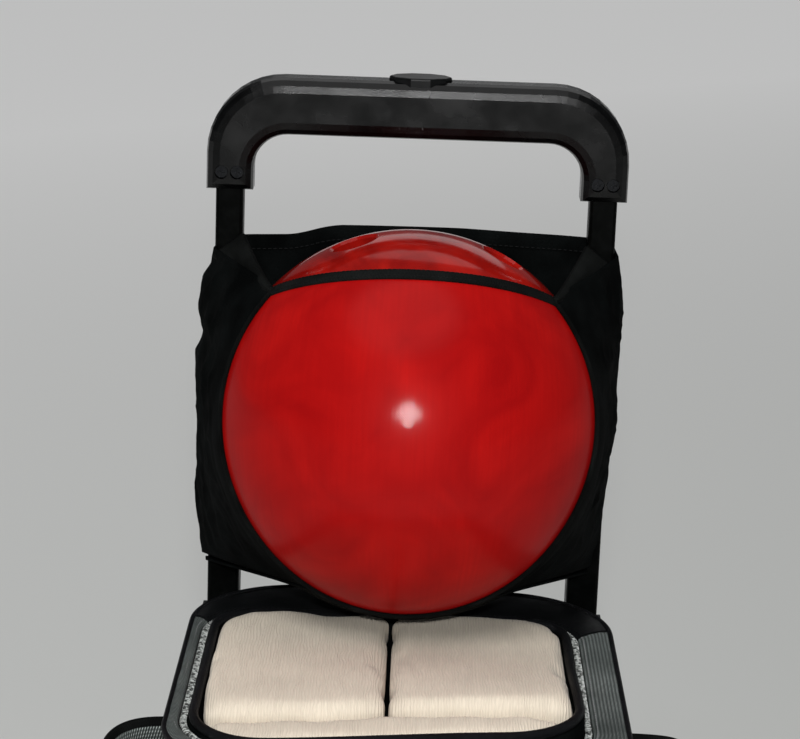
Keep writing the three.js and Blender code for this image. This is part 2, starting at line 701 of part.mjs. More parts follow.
function axle() {
  const reach = WHEEL.x + WHEEL.width / 2 + 1.2;
  const head = 5.8;
  const ends = sides.map(({ sign }) => {
    const near = sign * reach;
    const far = sign * (reach + head);
    return rodX(9, Math.min(near, far), Math.max(near, far), WHEEL.y, WHEEL.r);
  });
  return join(rodX(AXLE_R, -reach - 1, reach + 1, WHEEL.y, WHEEL.r), ...ends);
}

// A moulded arch over the front and top of the wheel, with a side plate that the axle passes through.
function wheelHousing(sign) {
  const rimR = WHEEL.r + 8;
  const from = THREE.MathUtils.degToRad(55);
  const to = THREE.MathUtils.degToRad(195);
  const band = new THREE.Shape().absarc(WHEEL.y, WHEEL.r, rimR, from, to);
  band.absarc(WHEEL.y, WHEEL.r, rimR - 4, to, from, true);
  const web = new THREE.Shape().absarc(WHEEL.y, WHEEL.r, rimR - 1, from, to);
  web.lineTo(WHEEL.y, WHEEL.r);
  const between = (a, b) => (sign > 0 ? [a, b] : [-b, -a]);
  const [padX0, padX1] = between(BAG.x1 + 0.5, 125);
  const plate = between(124.6, 127.2);
  return cut(
    join(
      extrudeX(band, ...between(124.6, 158)),
      extrudeX(web, ...plate),
      rodX(16, ...plate, WHEEL.y, WHEEL.r),
      boxAt(padX0, padX1, 14, 50, 42, 68),
    ),
    rodX(AXLE_R + 0.6, ...between(120, 130), WHEEL.y, WHEEL.r),
  );
}

function frontFoot(x) {
  const height = TRAY.bottom - GAP;
  return new THREE.CylinderGeometry(17, 14, height, 20).rotateX(Math.PI / 2).translate(x, -170, height / 2);
}

function buildRunningGear() {
  const gear = new THREE.Group();
  piece(gear, "axle", "steel", axle());
  for (const { name, sign } of sides) {
    piece(gear, "wheel_tyre_" + name, "rubber", wheelTyre(sign * WHEEL.x));
    piece(gear, "wheel_hub_" + name, "greyPlastic", wheelHub(sign * WHEEL.x));
    piece(gear, "wheel_housing_" + name, "blackPlastic", wheelHousing(sign));
    piece(gear, "front_foot_" + name, "rubber", frontFoot(sign * 85));
  }
  return gear;
}

// ---- The whole ----
const assembly = new THREE.Group();
assembly.add(buildHandle(), buildPouch(), buildBag(), buildRunningGear());
assembly.updateMatrixWorld(true);
const bounds = new THREE.Box3().setFromObject(assembly, true);
const middle = bounds.getCenter(point(0, 0, 0));
assembly.position.set(-middle.x, -middle.y, -bounds.min.z);

export default assembly;
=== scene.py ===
"""Looks of a wheeled bowling bag whose pull handle carries a ball in a mesh pouch, round the CAD frame."""

import math

import bmesh
import bpy
import numpy as np
from mathutils import Matrix, Vector, noise


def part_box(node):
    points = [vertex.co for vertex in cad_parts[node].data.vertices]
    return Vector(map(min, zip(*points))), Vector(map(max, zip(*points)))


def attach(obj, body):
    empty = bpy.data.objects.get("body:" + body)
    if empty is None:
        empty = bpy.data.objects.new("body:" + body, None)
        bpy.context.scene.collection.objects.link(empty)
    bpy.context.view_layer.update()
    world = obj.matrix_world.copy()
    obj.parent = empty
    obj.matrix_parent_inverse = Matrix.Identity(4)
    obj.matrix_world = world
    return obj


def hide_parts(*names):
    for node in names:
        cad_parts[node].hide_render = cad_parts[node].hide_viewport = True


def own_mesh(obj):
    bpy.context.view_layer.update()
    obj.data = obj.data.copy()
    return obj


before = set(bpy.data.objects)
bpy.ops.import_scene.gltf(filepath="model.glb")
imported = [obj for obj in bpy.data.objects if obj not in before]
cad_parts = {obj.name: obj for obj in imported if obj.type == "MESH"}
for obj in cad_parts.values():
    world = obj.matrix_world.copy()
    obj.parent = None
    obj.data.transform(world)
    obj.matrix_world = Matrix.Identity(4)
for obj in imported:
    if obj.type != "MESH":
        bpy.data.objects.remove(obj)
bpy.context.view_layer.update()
MM = 0.001
Z = Vector((0, 0, 1))
SIDES = (("left", -1), ("right", 1))


# ---------------------------------------------------------------- places, in millimetres
def span(node):
    """A CAD node's box as ((x0, x1), (y0, y1), (z0, z1)), in mm from the floor below the ball's centre."""
    low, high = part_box(node)
    return tuple(((low[i] - ORIGIN[i]) / MM, (high[i] - ORIGIN[i]) / MM) for i in range(3))


ball_low, ball_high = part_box("bowling_ball")
BALL = (ball_low + ball_high) / 2
BALL_R = (ball_high.x - ball_low.x) / 2 / MM
ORIGIN = Vector((BALL.x, BALL.y, 0))
BALL_Z = BALL.z / MM


def at(x, y, z):
    return ORIGIN + Vector((x, y, z)) * MM


def by_ball(p):
    return BALL + Vector(p) * MM


def mix(a, b, t):
    return a + (b - a) * t


def smooth(t):
    t = min(1.0, max(0.0, t))
    return t * t * (3 - 2 * t)


def along(value, table):
    """Interpolates smoothly in a table of (key, value) pairs."""
    if value <= table[0][0]:
        return table[0][1]
    for (k0, v0), (k1, v1) in zip(table, table[1:]):
        if value <= k1:
            return mix(v0, v1, smooth((value - k0) / (k1 - k0)))
    return table[-1][1]


def wobble(p, size, seed=0.0):
    """Smooth noise from about -1 to 1 whose features are about size mm across; p is in mm."""
    return noise.noise(Vector(p) / size + Vector((seed * 7.3, seed * 3.1, seed * 5.7)))


def crease(p, size, seed=0.0):
    """Noise with sharp ridges, like crumpled cloth, from -1 to 1."""
    return 1 - 2.4 * abs(wobble(p, size, seed))


# ---------------------------------------------------------------- materials
def lay(tree, kind, inputs=(), **settings):
    """Adds a node; an input is either a value or another node's output."""
    node = tree.nodes.new(kind)
    for key, value in settings.items():
        setattr(node, key, value)
    for key, value in dict(inputs).items():
        if isinstance(value, bpy.types.NodeSocket):
            tree.links.new(value, node.inputs[key])
        else:
            node.inputs[key].default_value = value
    return node


def surface(name, color, roughness=0.6, metallic=0.0, specular=0.5, sheen=0.0, coat=0.0, coat_roughness=0.1):
    material = bpy.data.materials.new(name)
    material.use_nodes = True
    tree = material.node_tree
    shader = tree.nodes["Principled BSDF"]
    for key, value in {
        "Base Color": (*color, 1),
        "Roughness": roughness,
        "Metallic": metallic,
        "Specular IOR Level": specular,
        "Sheen Weight": sheen,
        "Coat Weight": coat,
        "Coat Roughness": coat_roughness,
    }.items():
        shader.inputs[key].default_value = value
    return material, tree, shader


def coordinates(tree, which="Object", scale=(1, 1, 1)):
    source = lay(tree, "ShaderNodeTexCoord").outputs[which]
    return lay(tree, "ShaderNodeMapping", {"Vector": source, "Scale": scale}).outputs["Vector"]


def axes(tree, vector):
    return lay(tree, "ShaderNodeSeparateXYZ", {0: vector}).outputs


def speckle(tree, scale, detail=2.0, distortion=0.0, which="Object", stretch=(1, 1, 1)):
    """Noise from 0 to 1."""
    vector = coordinates(tree, which, stretch)
    settings = {"Vector": vector, "Scale": scale, "Detail": detail, "Distortion": distortion}
    return lay(tree, "ShaderNodeTexNoise", settings).outputs["Fac"]


def calc(tree, operation, a, b=0.0):
    return lay(tree, "ShaderNodeMath", {0: a, 1: b}, operation=operation).outputs[0]


def spread(tree, value, low, high, to_low=0.0, to_high=1.0):
    inputs = {"Value": value, "From Min": low, "From Max": high, "To Min": to_low, "To Max": to_high}
    return lay(tree, "ShaderNodeMapRange", inputs).outputs["Result"]


def tint(tree, shader, amount, one, other):
    node = lay(tree, "ShaderNodeMix", {0: amount}, data_type="RGBA")
    node.inputs[6].default_value = (*one, 1)
    node.inputs[7].default_value = (*other, 1)
    tree.links.new(node.outputs[2], shader.inputs["Base Color"])


def roughen(tree, shader, value, low, high, least, most):
    tree.links.new(spread(tree, value, low, high, least, most), shader.inputs["Roughness"])


def emboss(tree, shader, height, distance, strength=1.0, under=None):
    inputs = {"Height": height, "Distance": distance, "Strength": strength}
    if under is not None:
        inputs["Normal"] = under
    made = lay(tree, "ShaderNodeBump", inputs).outputs["Normal"]
    tree.links.new(made, shader.inputs["Normal"])
    return made


def wave(tree, value, pitch):
    """A sine from -1 to 1 that repeats every pitch metres of the value."""
    return calc(tree, "SINE", calc(tree, "MULTIPLY", value, 2 * math.pi / pitch))


def weave_height(tree, pitch):
    across = axes(tree, coordinates(tree, "UV"))
    return calc(tree, "MULTIPLY", wave(tree, across[0], pitch), wave(tree, across[1], pitch))


def plastic(name, color, roughness=0.5, specular=0.35, grain=0.00005, size=1400.0):
    material, tree, shader = surface(name, color, roughness, specular=specular)
    roughen(tree, shader, speckle(tree, 45.0, 4.0), 0.3, 0.7, roughness - 0.06, roughness + 0.1)
    pale = tuple(c * 1.7 + 0.001 for c in color)
    tint(tree, shader, spread(tree, speckle(tree, 160.0, 5.0), 0.45, 0.8), color, pale)
    emboss(tree, shader, speckle(tree, size), grain)
    return material


def metal(name, color, roughness=0.35, stretch=(60, 60, 900)):
    material, tree, shader = surface(name, color, roughness, metallic=1.0)
    streaks = speckle(tree, 1.0, 3.0, stretch=stretch)
    roughen(tree, shader, streaks, 0.3, 0.7, roughness - 0.08, roughness + 0.12)
    emboss(tree, shader, streaks, 0.00001)
    return material


def cloth(name, color, light, pitch=0.0009, roughness=0.85, specular=0.03, depth=0.00016):
    """Plain weave: crossing threads, and a colour that varies as worn cloth does."""
    material, tree, shader = surface(name, color, roughness, specular=specular)
    patches = spread(tree, speckle(tree, 38.0, 4.0), 0.35, 0.75)
    fuzz = speckle(tree, 900.0)
    amount = calc(tree, "MULTIPLY", patches, spread(tree, fuzz, 0.2, 0.8, 0.5, 1.2))
    tint(tree, shader, amount, color, light)
    threads = calc(tree, "MULTIPLY", weave_height(tree, pitch), 0.5)
    emboss(tree, shader, calc(tree, "ADD", threads, calc(tree, "MULTIPLY", fuzz, 0.6)), depth)
    return material


def ribbed(name, dark, pale, pitch=0.0017, slant=0.3):
    """Dark satin cloth with fine pale ribs; UV is in metres, and the ribs run along v."""
    material, tree, shader = surface(name, dark, 0.6, specular=0.12)
    across = axes(tree, coordinates(tree, "UV"))
    ribs = wave(tree, calc(tree, "ADD", across[0], calc(tree, "MULTIPLY", across[1], slant)), pitch)
    cross = calc(tree, "MULTIPLY", wave(tree, across[1], pitch * 1.3), 0.4)
    thread = spread(tree, calc(tree, "ADD", ribs, cross), 0.15, 1.35)
    patches = spread(tree, speckle(tree, 30.0, 4.0), 0.3, 0.75, 0.35, 1.0)
    tint(tree, shader, calc(tree, "MULTIPLY", thread, patches), dark, pale)
    emboss(tree, shader, ribs, 0.00018)
    return material


def mesh_cloth():
    """Red satin stretch mesh: a fine lattice of dots, faint streaks along it, and soft swirls."""
    red = (0.42, 0.004, 0.004)
    shine = {"specular": 0.03, "coat": 0.14, "coat_roughness": 0.14}
    material, tree, shader = surface("red_satin_mesh", red, 0.5, **shine)
    swirl = spread(tree, speckle(tree, 17.0, 5.0, 1.6), 0.3, 0.75)
    streaks = speckle(tree, 1.0, 3.0, which="UV", stretch=(520, 22, 1))
    amount = calc(tree, "MULTIPLY", swirl, spread(tree, streaks, 0.25, 0.75, 0.6, 1.2))
    tint(tree, shader, amount, (0.245, 0.0018, 0.0022), (0.375, 0.0045, 0.0036))
    under = emboss(tree, shader, streaks, 0.00005)
    bumped = emboss(tree, shader, weave_height(tree, 0.0013), 0.000012, under=under)
    tree.links.new(bumped, shader.inputs["Coat Normal"])
    return material


def ball_resin():
    red = (0.3, 0.005, 0.004)
    material, tree, shader = surface("ball_resin", red, 0.12, specular=0.2, coat=0.06, coat_roughness=0.03)
    swirl = spread(tree, speckle(tree, 13.0, 6.0, 2.2), 0.35, 0.7)
    cloud = spread(tree, speckle(tree, 34.0, 3.0, 0.8), 0.3, 0.7, 0.6, 1.1)
    tint(tree, shader, calc(tree, "MULTIPLY", swirl, cloud), (0.17, 0.0032, 0.0024), (0.37, 0.009, 0.005))
    roughen(tree, shader, speckle(tree, 90.0, 5.0), 0.4, 0.8, 0.07, 0.2)
    return material


def cushion_cloth():
    """Cream cloth with fine crinkled ribs from front to back."""
    material, tree, shader = surface("cream_cloth", (0.7, 0.6, 0.48), 0.85, specular=0.08, sheen=0.08)
    strays = spread(tree, speckle(tree, 1.0, stretch=(160, 60, 60)), 0.2, 0.8, -0.0011, 0.0011)
    ribs = wave(tree, calc(tree, "ADD", axes(tree, coordinates(tree))[0], strays), 0.0016)
    folds = speckle(tree, 1.0, 3.0, 0.5, stretch=(160, 30, 60))
    patches = spread(tree, speckle(tree, 14.0, 4.0), 0.3, 0.75, 0.0, 0.7)
    amount = calc(tree, "ADD", patches, spread(tree, ribs, -1.0, 1.0, 0.0, 0.3))
    tint(tree, shader, amount, (0.51, 0.447, 0.36), (0.67, 0.593, 0.483))
    under = emboss(tree, shader, folds, 0.0012, 0.7)
    under = emboss(tree, shader, ribs, 0.00012, 1.0, under)
    emboss(tree, shader, speckle(tree, 1500.0), 0.00006, 1.0, under)
    return material


def leatherette():
    """The rear yoke's coated cloth: smooth and black, with a soft grain."""
    material, tree, shader = surface("yoke_leatherette", (0.0035, 0.004, 0.0044), 0.4, specular=0.22)
    settings = {"Vector": coordinates(tree), "Scale": 900.0}
    pebbles = lay(tree, "ShaderNodeTexVoronoi", settings).outputs["Distance"]
    emboss(tree, shader, pebbles, 0.00008, 0.6)
    roughen(tree, shader, speckle(tree, 60.0, 4.0), 0.3, 0.7, 0.34, 0.55)
    return material


def coil_painted_highlights():
    """Monofilament with painted highlights and painted shade: random pale speckles stand for light on the
    loops' crowns, dark ones for shade between them.
    """
    material, tree, shader = surface("zip_coil", (0.2, 0.21, 0.2), 0.4, specular=0.4)
    # painted highlights and painted shade: the coil's colour swings at random between near black and pale
    # grey
    painted_crown_highlights = spread(tree, speckle(tree, 520.0, 1.0), 0.4, 0.6)
    tint(tree, shader, painted_crown_highlights, (0.03, 0.032, 0.03), (0.40, 0.42, 0.40))
    return material


BLACK_CLOTH = cloth("black_woven_cloth", (0.0010, 0.0013, 0.0013), (0.0048, 0.0058, 0.0058), specular=0.02)
HEM_CLOTH = cloth("black_tape", (0.003, 0.0034, 0.0032), (0.010, 0.011, 0.0105), 0.0016, 0.85, 0.05, 0.0003)
GREY_CLOTH = ribbed("grey_ribbed_cloth", (0.024, 0.03, 0.028), (0.42, 0.46, 0.44))
PIPING = cloth("satin_piping", (0.0035, 0.0037, 0.0042), (0.010, 0.0105, 0.0125), 0.0012, 0.45, 0.1)
CREAM = cushion_cloth()
RED_MESH = mesh_cloth()
RESIN = ball_resin()
YOKE = leatherette()
COIL = coil_painted_highlights()
STEEL = metal("drawn_steel", (0.6, 0.6, 0.61), 0.28)
THREAD = surface("grey_thread", (0.10, 0.105, 0.105), 0.6, specular=0.3, sheen=0.3)[0]
BLACK_THREAD = surface("black_thread", (0.0045, 0.0048, 0.005), 0.6, specular=0.1)[0]


def cad_finishes():
    """A material for each kind of CAD node, by the start of the node's name."""
    black = (0.0030, 0.0032, 0.0034)
    grip = plastic("grip_plastic", tuple(0.3 * c for c in black), 0.23, 0.26, 0.00005, 1300.0)
    satin = plastic("button_plastic", black, 0.3, 0.12, 0.00002)
    moulded = plastic("moulded_black", (0.006, 0.0063, 0.0066), 0.55, 0.2, 0.0001, 800.0)
    grey = plastic("moulded_grey", (0.10, 0.105, 0.11), 0.5, 0.4)
    board = plastic("board_plastic", (0.006, 0.0062, 0.0065), 0.6, 0.15, 0.00008, 500.0)
    rubber = plastic("rubber", (0.012, 0.012, 0.0125), 0.8, 0.25, 0.00012, 700.0)
    foam = plastic("foam", (0.02, 0.02, 0.021), 0.95, 0.1, 0.0004, 380.0)
    painted = plastic("black_anodised", (0.0009, 0.0011, 0.0010), 0.32, 0.03, 0.00001)
    bare = metal("satin_aluminium", (0.50, 0.51, 0.52), 0.38)
    screw = metal("blackened_screw", (0.012, 0.0125, 0.0135), 0.4, (400, 400, 400))
    zinc = metal("zip_metal", (0.42, 0.42, 0.44), 0.3, (300, 300, 300))
    return {
        ("grip_front", "grip_back"): grip,
        ("grip_screw",): screw,
        ("release_button",): satin,
        ("release_link", "wheel_hub"): grey,
        ("inner_tube", "middle_tube"): painted,
        ("outer_tube",): bare,
        ("stage_collar", "base_tray", "handle_", "wheel_housing"): moulded,
        ("button_spring", "push_rod", "axle"): STEEL,
        ("foam_cup",): foam,
        ("zip_",): zinc,
        ("back_board",): board,
        ("wheel_tyre", "front_foot"): rubber,
    }


def finish_cad():
    """Gives each CAD node a material of its kind. The soft ones get cloth, and are replaced later."""
    kinds = cad_finishes()
    for name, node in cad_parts.items():
        dressed(node, next((kinds[starts] for starts in kinds if name.startswith(starts)), BLACK_CLOTH), 32)


# ---------------------------------------------------------------- meshes
def placed(name, data):
    made = bpy.data.objects.new(name, data)
    bpy.context.scene.collection.objects.link(made)
    return made


def dressed(made, material, sharp=None):
    """Gives every face one material and smooth shading, with edges where it turns more than sharp degrees."""
    data = made.data
    data.materials.clear()
    data.materials.append(material)
    data.polygons.foreach_set("material_index", [0] * len(data.polygons))
    data.polygons.foreach_set("use_smooth", [True] * len(data.polygons))
    if sharp is not None:
        data.set_sharp_from_angle(angle=math.radians(sharp))
    return made


def shaped(name, points, faces, material, uvs=None, sharp=45):
    data = bpy.data.meshes.new(name)
    data.from_pydata([tuple(p) for p in points], [], faces)
    if uvs is not None:
        layer = data.uv_layers.new(name="UVMap")
        for loop in data.loops:
            layer.data[loop.index].uv = uvs[loop.vertex_index]
    return dressed(placed(name, data), material, sharp)


def grid_faces(rows, columns, closed_rows=False, closed_columns=False, start=0):
    faces = []
    for i in range(rows if closed_rows else rows - 1):
        for j in range(columns if closed_columns else columns - 1):
            a, b = i * columns, (i + 1) % rows * columns
            j1 = (j + 1) % columns
            faces.append((start + a + j, start + a + j1, start + b + j1, start + b + j))
    return faces


def end_caps(rows, columns):
    """The two faces that close the ends of a tube made by grid_faces."""
    last = (rows - 1) * columns
    return [tuple(range(columns)), tuple(reversed(range(last, last + columns)))]


def turned(profile, steps=48):
    """Points and faces of a form turned about z, from (radius, height) pairs with both ends on the axis."""
    points = [Vector((0, 0, profile[0][1]))]
    for radius, z in profile[1:-1]:
        for k in range(steps):
            turn = 2 * math.pi * k / steps
            points.append(Vector((radius * math.cos(turn), radius * math.sin(turn), z)))
    points.append(Vector((0, 0, profile[-1][1])))
    rings = len(profile) - 2
    faces = grid_faces(rings, steps, closed_columns=True, start=1)
    last = 1 + (rings - 1) * steps
    for k in range(steps):
        k1 = (k + 1) % steps
        faces += [(0, 1 + k1, 1 + k), (len(points) - 1, last + k, last + k1)]
    return points, faces


def block(low, high):
    """Points and faces of a box."""
    points = [(x, y, z) for x in (low.x, high.x) for y in (low.y, high.y) for z in (low.z, high.z)]
    return points, [(0, 1, 3, 2), (4, 6, 7, 5), (0, 4, 5, 1), (2, 3, 7, 6), (0, 2, 6, 4), (1, 5, 7, 3)]


def lengths(points):
    total, made = 0.0, [0.0]
    for a, b in zip(points, points[1:]):
        total += (b - a).length
        made.append(total)
    return made


def sheet_of(name, rows, material, thickness=1.4, closed=False, outward=1):
    """A cloth of even thickness through a grid of points. UV is in metres: u along a row, v across them."""
    columns = len(rows[0])
    if closed:
        rows = [[*row, row[0]] for row in rows]
        columns += 1
    ups = lengths([row[columns // 2] for row in rows])
    uvs, points = [], []
    for row, up in zip(rows, ups):
        for p, side in zip(row, lengths(row)):
            points.append(p)
            uvs.append((side, up))
    faces = grid_faces(len(rows), columns)
    if outward < 0:
        faces = [tuple(reversed(f)) for f in faces]
    made = shaped(name, points, faces, material, uvs)
    if closed:
        weld(made)
    shell = made.modifiers.new("thickness", "SOLIDIFY")
    shell.thickness = thickness * MM
    shell.offset = -1
    return made


def weld(made):
    """Joins points that coincide, and turns every face outwards."""
    bm = bmesh.new()
    bm.from_mesh(made.data)
    bmesh.ops.remove_doubles(bm, verts=bm.verts, dist=1e-6)
    bmesh.ops.recalc_face_normals(bm, faces=bm.faces)
    bm.to_mesh(made.data)
    bm.free()
    return made


def ribbon(name, path, ups, half_wide, half_thick, material, power=3.0, steps=12):
    """A band of rounded section along a path: half_wide along ups, half_thick across, both in mm."""
    count = len(path)
    ups = ups if isinstance(ups, list) else [ups] * count
    points, uvs = [], []
    reach = lengths(path)
    for i, p in enumerate(path):
        way = (path[min(i + 1, count - 1)] - path[max(i - 1, 0)]).normalized()
        up = (ups[i] - way * ups[i].dot(way)).normalized()
        out = way.cross(up)
        for k in range(steps):
            turn = 2 * math.pi * k / steps
            c, s = math.cos(turn), math.sin(turn)
            w = math.copysign(abs(c) ** (2 / power), c) * half_wide
            t = math.copysign(abs(s) ** (2 / power), s) * half_thick
            points.append(p + (up * w + out * t) * MM)
            uvs.append((reach[i], k / steps * 2 * half_wide * MM))
    faces = grid_faces(count, steps, closed_columns=True) + end_caps(count, steps)
    return weld(shaped(name, points, faces, material, uvs))


def rope(name, path, radius, material, closed=False, resolution=3):
    """A round cord along a path, as a curve."""
    data = bpy.data.curves.new(name, "CURVE")
    data.dimensions = "3D"
    data.bevel_depth = radius * MM
    data.bevel_resolution = resolution
    data.use_fill_caps = not closed
    line = data.splines.new("POLY")
    line.points.add(len(path) - 1)
    line.use_cyclic_u = closed
    line.use_smooth = True
    for point, p in zip(line.points, path):
        point.co = (*p, 1)
    data.materials.append(material)
    return placed(name, data)


def resampled(path, pitch, closed=False):
    """Points every pitch mm along a path, with the direction at each."""
    line = [*path, path[0]] if closed else path
    reach = lengths(line)
    count = max(2, int(reach[-1] / (pitch * MM)))
    found, i = [], 0
    for k in range(count):
        s = (k + 0.5) * reach[-1] / count
        while reach[i + 1] < s:
            i += 1
        t = (s - reach[i]) / (reach[i + 1] - reach[i])
        found.append((line[i].lerp(line[i + 1], t), (line[i + 1] - line[i]).normalized()))
    return found


def stitches(name, path, material, pitch, length, radius):
    """A row of separate thread stitches, each a small spindle lying along the path."""
    points, faces = [], []
    profile = ((-0.5, 0.25), (-0.32, 0.9), (0, 1), (0.32, 0.9), (0.5, 0.25))
    for p, way in resampled(path, pitch):
        side = way.orthogonal().normalized()
        other = way.cross(side)
        start = len(points)
        for place, size in profile:
            for k in range(5):
                turn = 2 * math.pi * k / 5
                off = (side * math.cos(turn) + other * math.sin(turn)) * radius * size
                points.append(p + (way * place * length + off) * MM)
        faces += grid_faces(len(profile), 5, closed_columns=True, start=start)
        faces.append(tuple(range(start + 4, start - 1, -1)))
        faces.append(tuple(range(start + 20, start + 25)))
    return shaped(name, points, faces, material)


def settled(made):
    """Turns an object's modifiers into its mesh."""
    bpy.context.view_layer.update()
    found = made.evaluated_get(bpy.context.evaluated_depsgraph_get())
    data = bpy.data.meshes.new_from_object(found)
    made.modifiers.clear()
    made.data = data
    return made


def cut_away(made, cutter):
    """Takes the cutter's form away from a mesh, once its other modifiers are in it."""
    cut = made.modifiers.new("cut", "BOOLEAN")
    cut.object, cut.operation, cut.solver = cutter, "DIFFERENCE", "EXACT"
    settled(made)
    bpy.data.objects.remove(cutter)


def on(made, body, *stands_for, slot=None):
    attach(made, body)
    if stands_for:
        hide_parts(*stands_for)
    return made


# ---------------------------------------------------------------- ball
# Each hole's mouth, within 6 mm of the CAD part's, and its radius. Then the holes' depth, from the centre.
HOLES = [((-34, -1, 103), 13.0), ((49.5, 3, 96.5), 12.0), ((43, 32, 94.5), 12.0)]
HOLE_FLOOR = 52.0


def drill(towards, r):
    """The form of a chamfered finger hole of radius r, seen from the ball's centre."""
    turn = Vector(towards).to_track_quat("Z", "Y").to_matrix()
    chamfer = 1.4
    rim_z = math.sqrt(BALL_R**2 - (r + chamfer) ** 2)
    past = 6
    profile = [
        (0, HOLE_FLOOR),
        (r, HOLE_FLOOR),
        (r, rim_z - 1.6),
        (r + chamfer, rim_z),
        (r + past, rim_z + past),
        (0, rim_z + past + 5),
    ]
    points, faces = turned(profile)
    return weld(shaped("drill", [(turn @ p) * MM for p in points], faces, RESIN))


def build_ball():
    bm = bmesh.new()
    bmesh.ops.create_uvsphere(bm, u_segments=144, v_segments=80, radius=BALL_R * MM)
    data = bpy.data.meshes.new("ball")
    bm.to_mesh(data)
    bm.free()
    ball = placed("ball", data)
    for towards, r in HOLES:
        cut_away(ball, drill(towards, r))
    data = dressed(ball, RESIN, 28).data
    # The ball's own surface keeps the normals of a true sphere, so its reflections run clean up to the holes.
    normals = [tuple(n.vector) for n in data.corner_normals]
    for polygon in data.polygons:
        outside = all(data.vertices[v].co.length > (BALL_R - 0.35) * MM for v in polygon.vertices)
        if outside and polygon.normal.dot(polygon.center.normalized()) > 0.985:
            for i in polygon.loop_indices:
                normals[i] = tuple(data.vertices[data.loops[i].vertex_index].co.normalized())
    data.normals_split_custom_set(normals)
    data.transform(Matrix.Translation(BALL))
    on(ball, "ball", "bowling_ball", slot="ball_resin")


# ---------------------------------------------------------------- the button's return spring
def build_spring():
    """A coil of wire of three and a half turns that fills the button spring's box, carried with the upper
    handle.
    """
    (x0, x1), (y0, y1), (z0, z1) = span("button_spring")
    wire, turns, count = 0.7, 3.5, 126
    radius = (x1 - x0) / 2 - wire
    path = []
    for k in range(count + 1):
        angle = 2 * math.pi * turns * k / count
        z = mix(z0 + wire, z1 - wire, k / count)
        path.append(at((x0 + x1) / 2 + radius * math.cos(angle), (y0 + y1) / 2 + radius * math.sin(angle), z))
    coil = ribbon("return_spring", path, Z, wire, wire, STEEL, power=2.0, steps=10)
    on(coil, "handle_upper", "button_spring", slot="spring_steel")
    tuple(at(0, (y0 + y1) / 2, z0))
    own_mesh(coil)


# ---------------------------------------------------------------- ball pouch, in mm from the ball's centre
LEAN = math.radians(16)
FORWARD = Vector((0, -math.cos(LEAN), math.sin(LEAN)))
UP = Vector((0, math.sin(LEAN), math.cos(LEAN)))
MOUTH_LEAN = math.radians(29)
MOUTH_UP = Vector((0, math.sin(MOUTH_LEAN), math.cos(MOUTH_LEAN)))
MOUTH_FORWARD = Vector((0, -math.cos(MOUTH_LEAN), math.sin(MOUTH_LEAN)))
MOUTH_AWAY = 58.6
MESH_R = BALL_R + 2.0
SEAM_AWAY = math.radians(68)


def slackens(made):
    """Turns the object's modifiers into its mesh and gives the object a mesh of its own."""
    settled(made)
    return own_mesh(made)


def seam_angle(turn):
    """Angle between the forward axis and the mesh's side seam; turn goes round it from the right, upwards."""
    low = max(0.0, -math.sin(turn))
    return SEAM_AWAY + math.radians(8) * low**3


def edge_angle(turn):
    """Where the mesh ends: at its side seam, or at the mouth."""
    a, b = MOUTH_UP.dot(UP) * math.sin(turn), -MOUTH_UP.dot(FORWARD)
    size = math.hypot(a, b)
    share = MOUTH_AWAY / MESH_R / size
    mouth = math.atan2(b, a) + math.asin(share) if share < 1 and a > 0 else math.pi
    return min(seam_angle(turn), mouth)


def round_ball(turn, away, radius):
    side = Vector((math.cos(turn), 0, 0)) + UP * math.sin(turn)
    return FORWARD * radius * math.cos(away) + side * radius * math.sin(away)


def corner_turn():
    """The turn at which the mouth meets the right side seam."""
    low, high = 0.1, 1.5
    for _ in range(40):
        middle = (low + high) / 2
        if edge_angle(middle) < seam_angle(middle) - 1e-9:
            high = middle
        else:
            low = middle
    return high


CORNER = corner_turn()


def build_mesh():
    left = math.pi - CORNER
    turns = [mix(CORNER, left, k / 72) for k in range(72)]
    turns += [mix(left, 2 * math.pi + CORNER, k / 150) for k in range(150)]
    rings, columns = 40, len(turns)
    points, uvs = [], []
    for radius in (MESH_R, MESH_R - 0.8):
        points.append(by_ball(FORWARD * radius))
        uvs.append((0.0, 0.0))
        for i in range(1, rings + 1):
            for turn in turns:
                away = edge_angle(turn) * i / rings
                points.append(by_ball(round_ball(turn, away, radius)))
                uvs.append((away * radius * MM * math.cos(turn), away * radius * MM * math.sin(turn)))
    faces = []
    layer = 1 + rings * columns
    for start in (0, layer):
        faces += [(start, start + 1 + k, start + 1 + (k + 1) % columns) for k in range(columns)]
        faces += grid_faces(rings, columns, closed_columns=True, start=start + 1)
    last = 1 + (rings - 1) * columns
    for k in range(columns):
        k1 = (k + 1) % columns
        faces.append((last + k, layer + last + k, layer + last + k1, last + k1))
    mesh = weld(shaped("pouch_mesh", points, faces, RED_MESH, uvs))
    on(slackens(mesh), "handle_lower", "pouch_front_mesh", slot="pouch_mesh")


def mouth_point(angle, radius):
    ring = math.sqrt(radius**2 - MOUTH_AWAY**2)
    side = Vector((ring * math.cos(angle), 0, 0))
    return MOUTH_UP * MOUTH_AWAY + side + MOUTH_FORWARD * (ring * math.sin(angle))


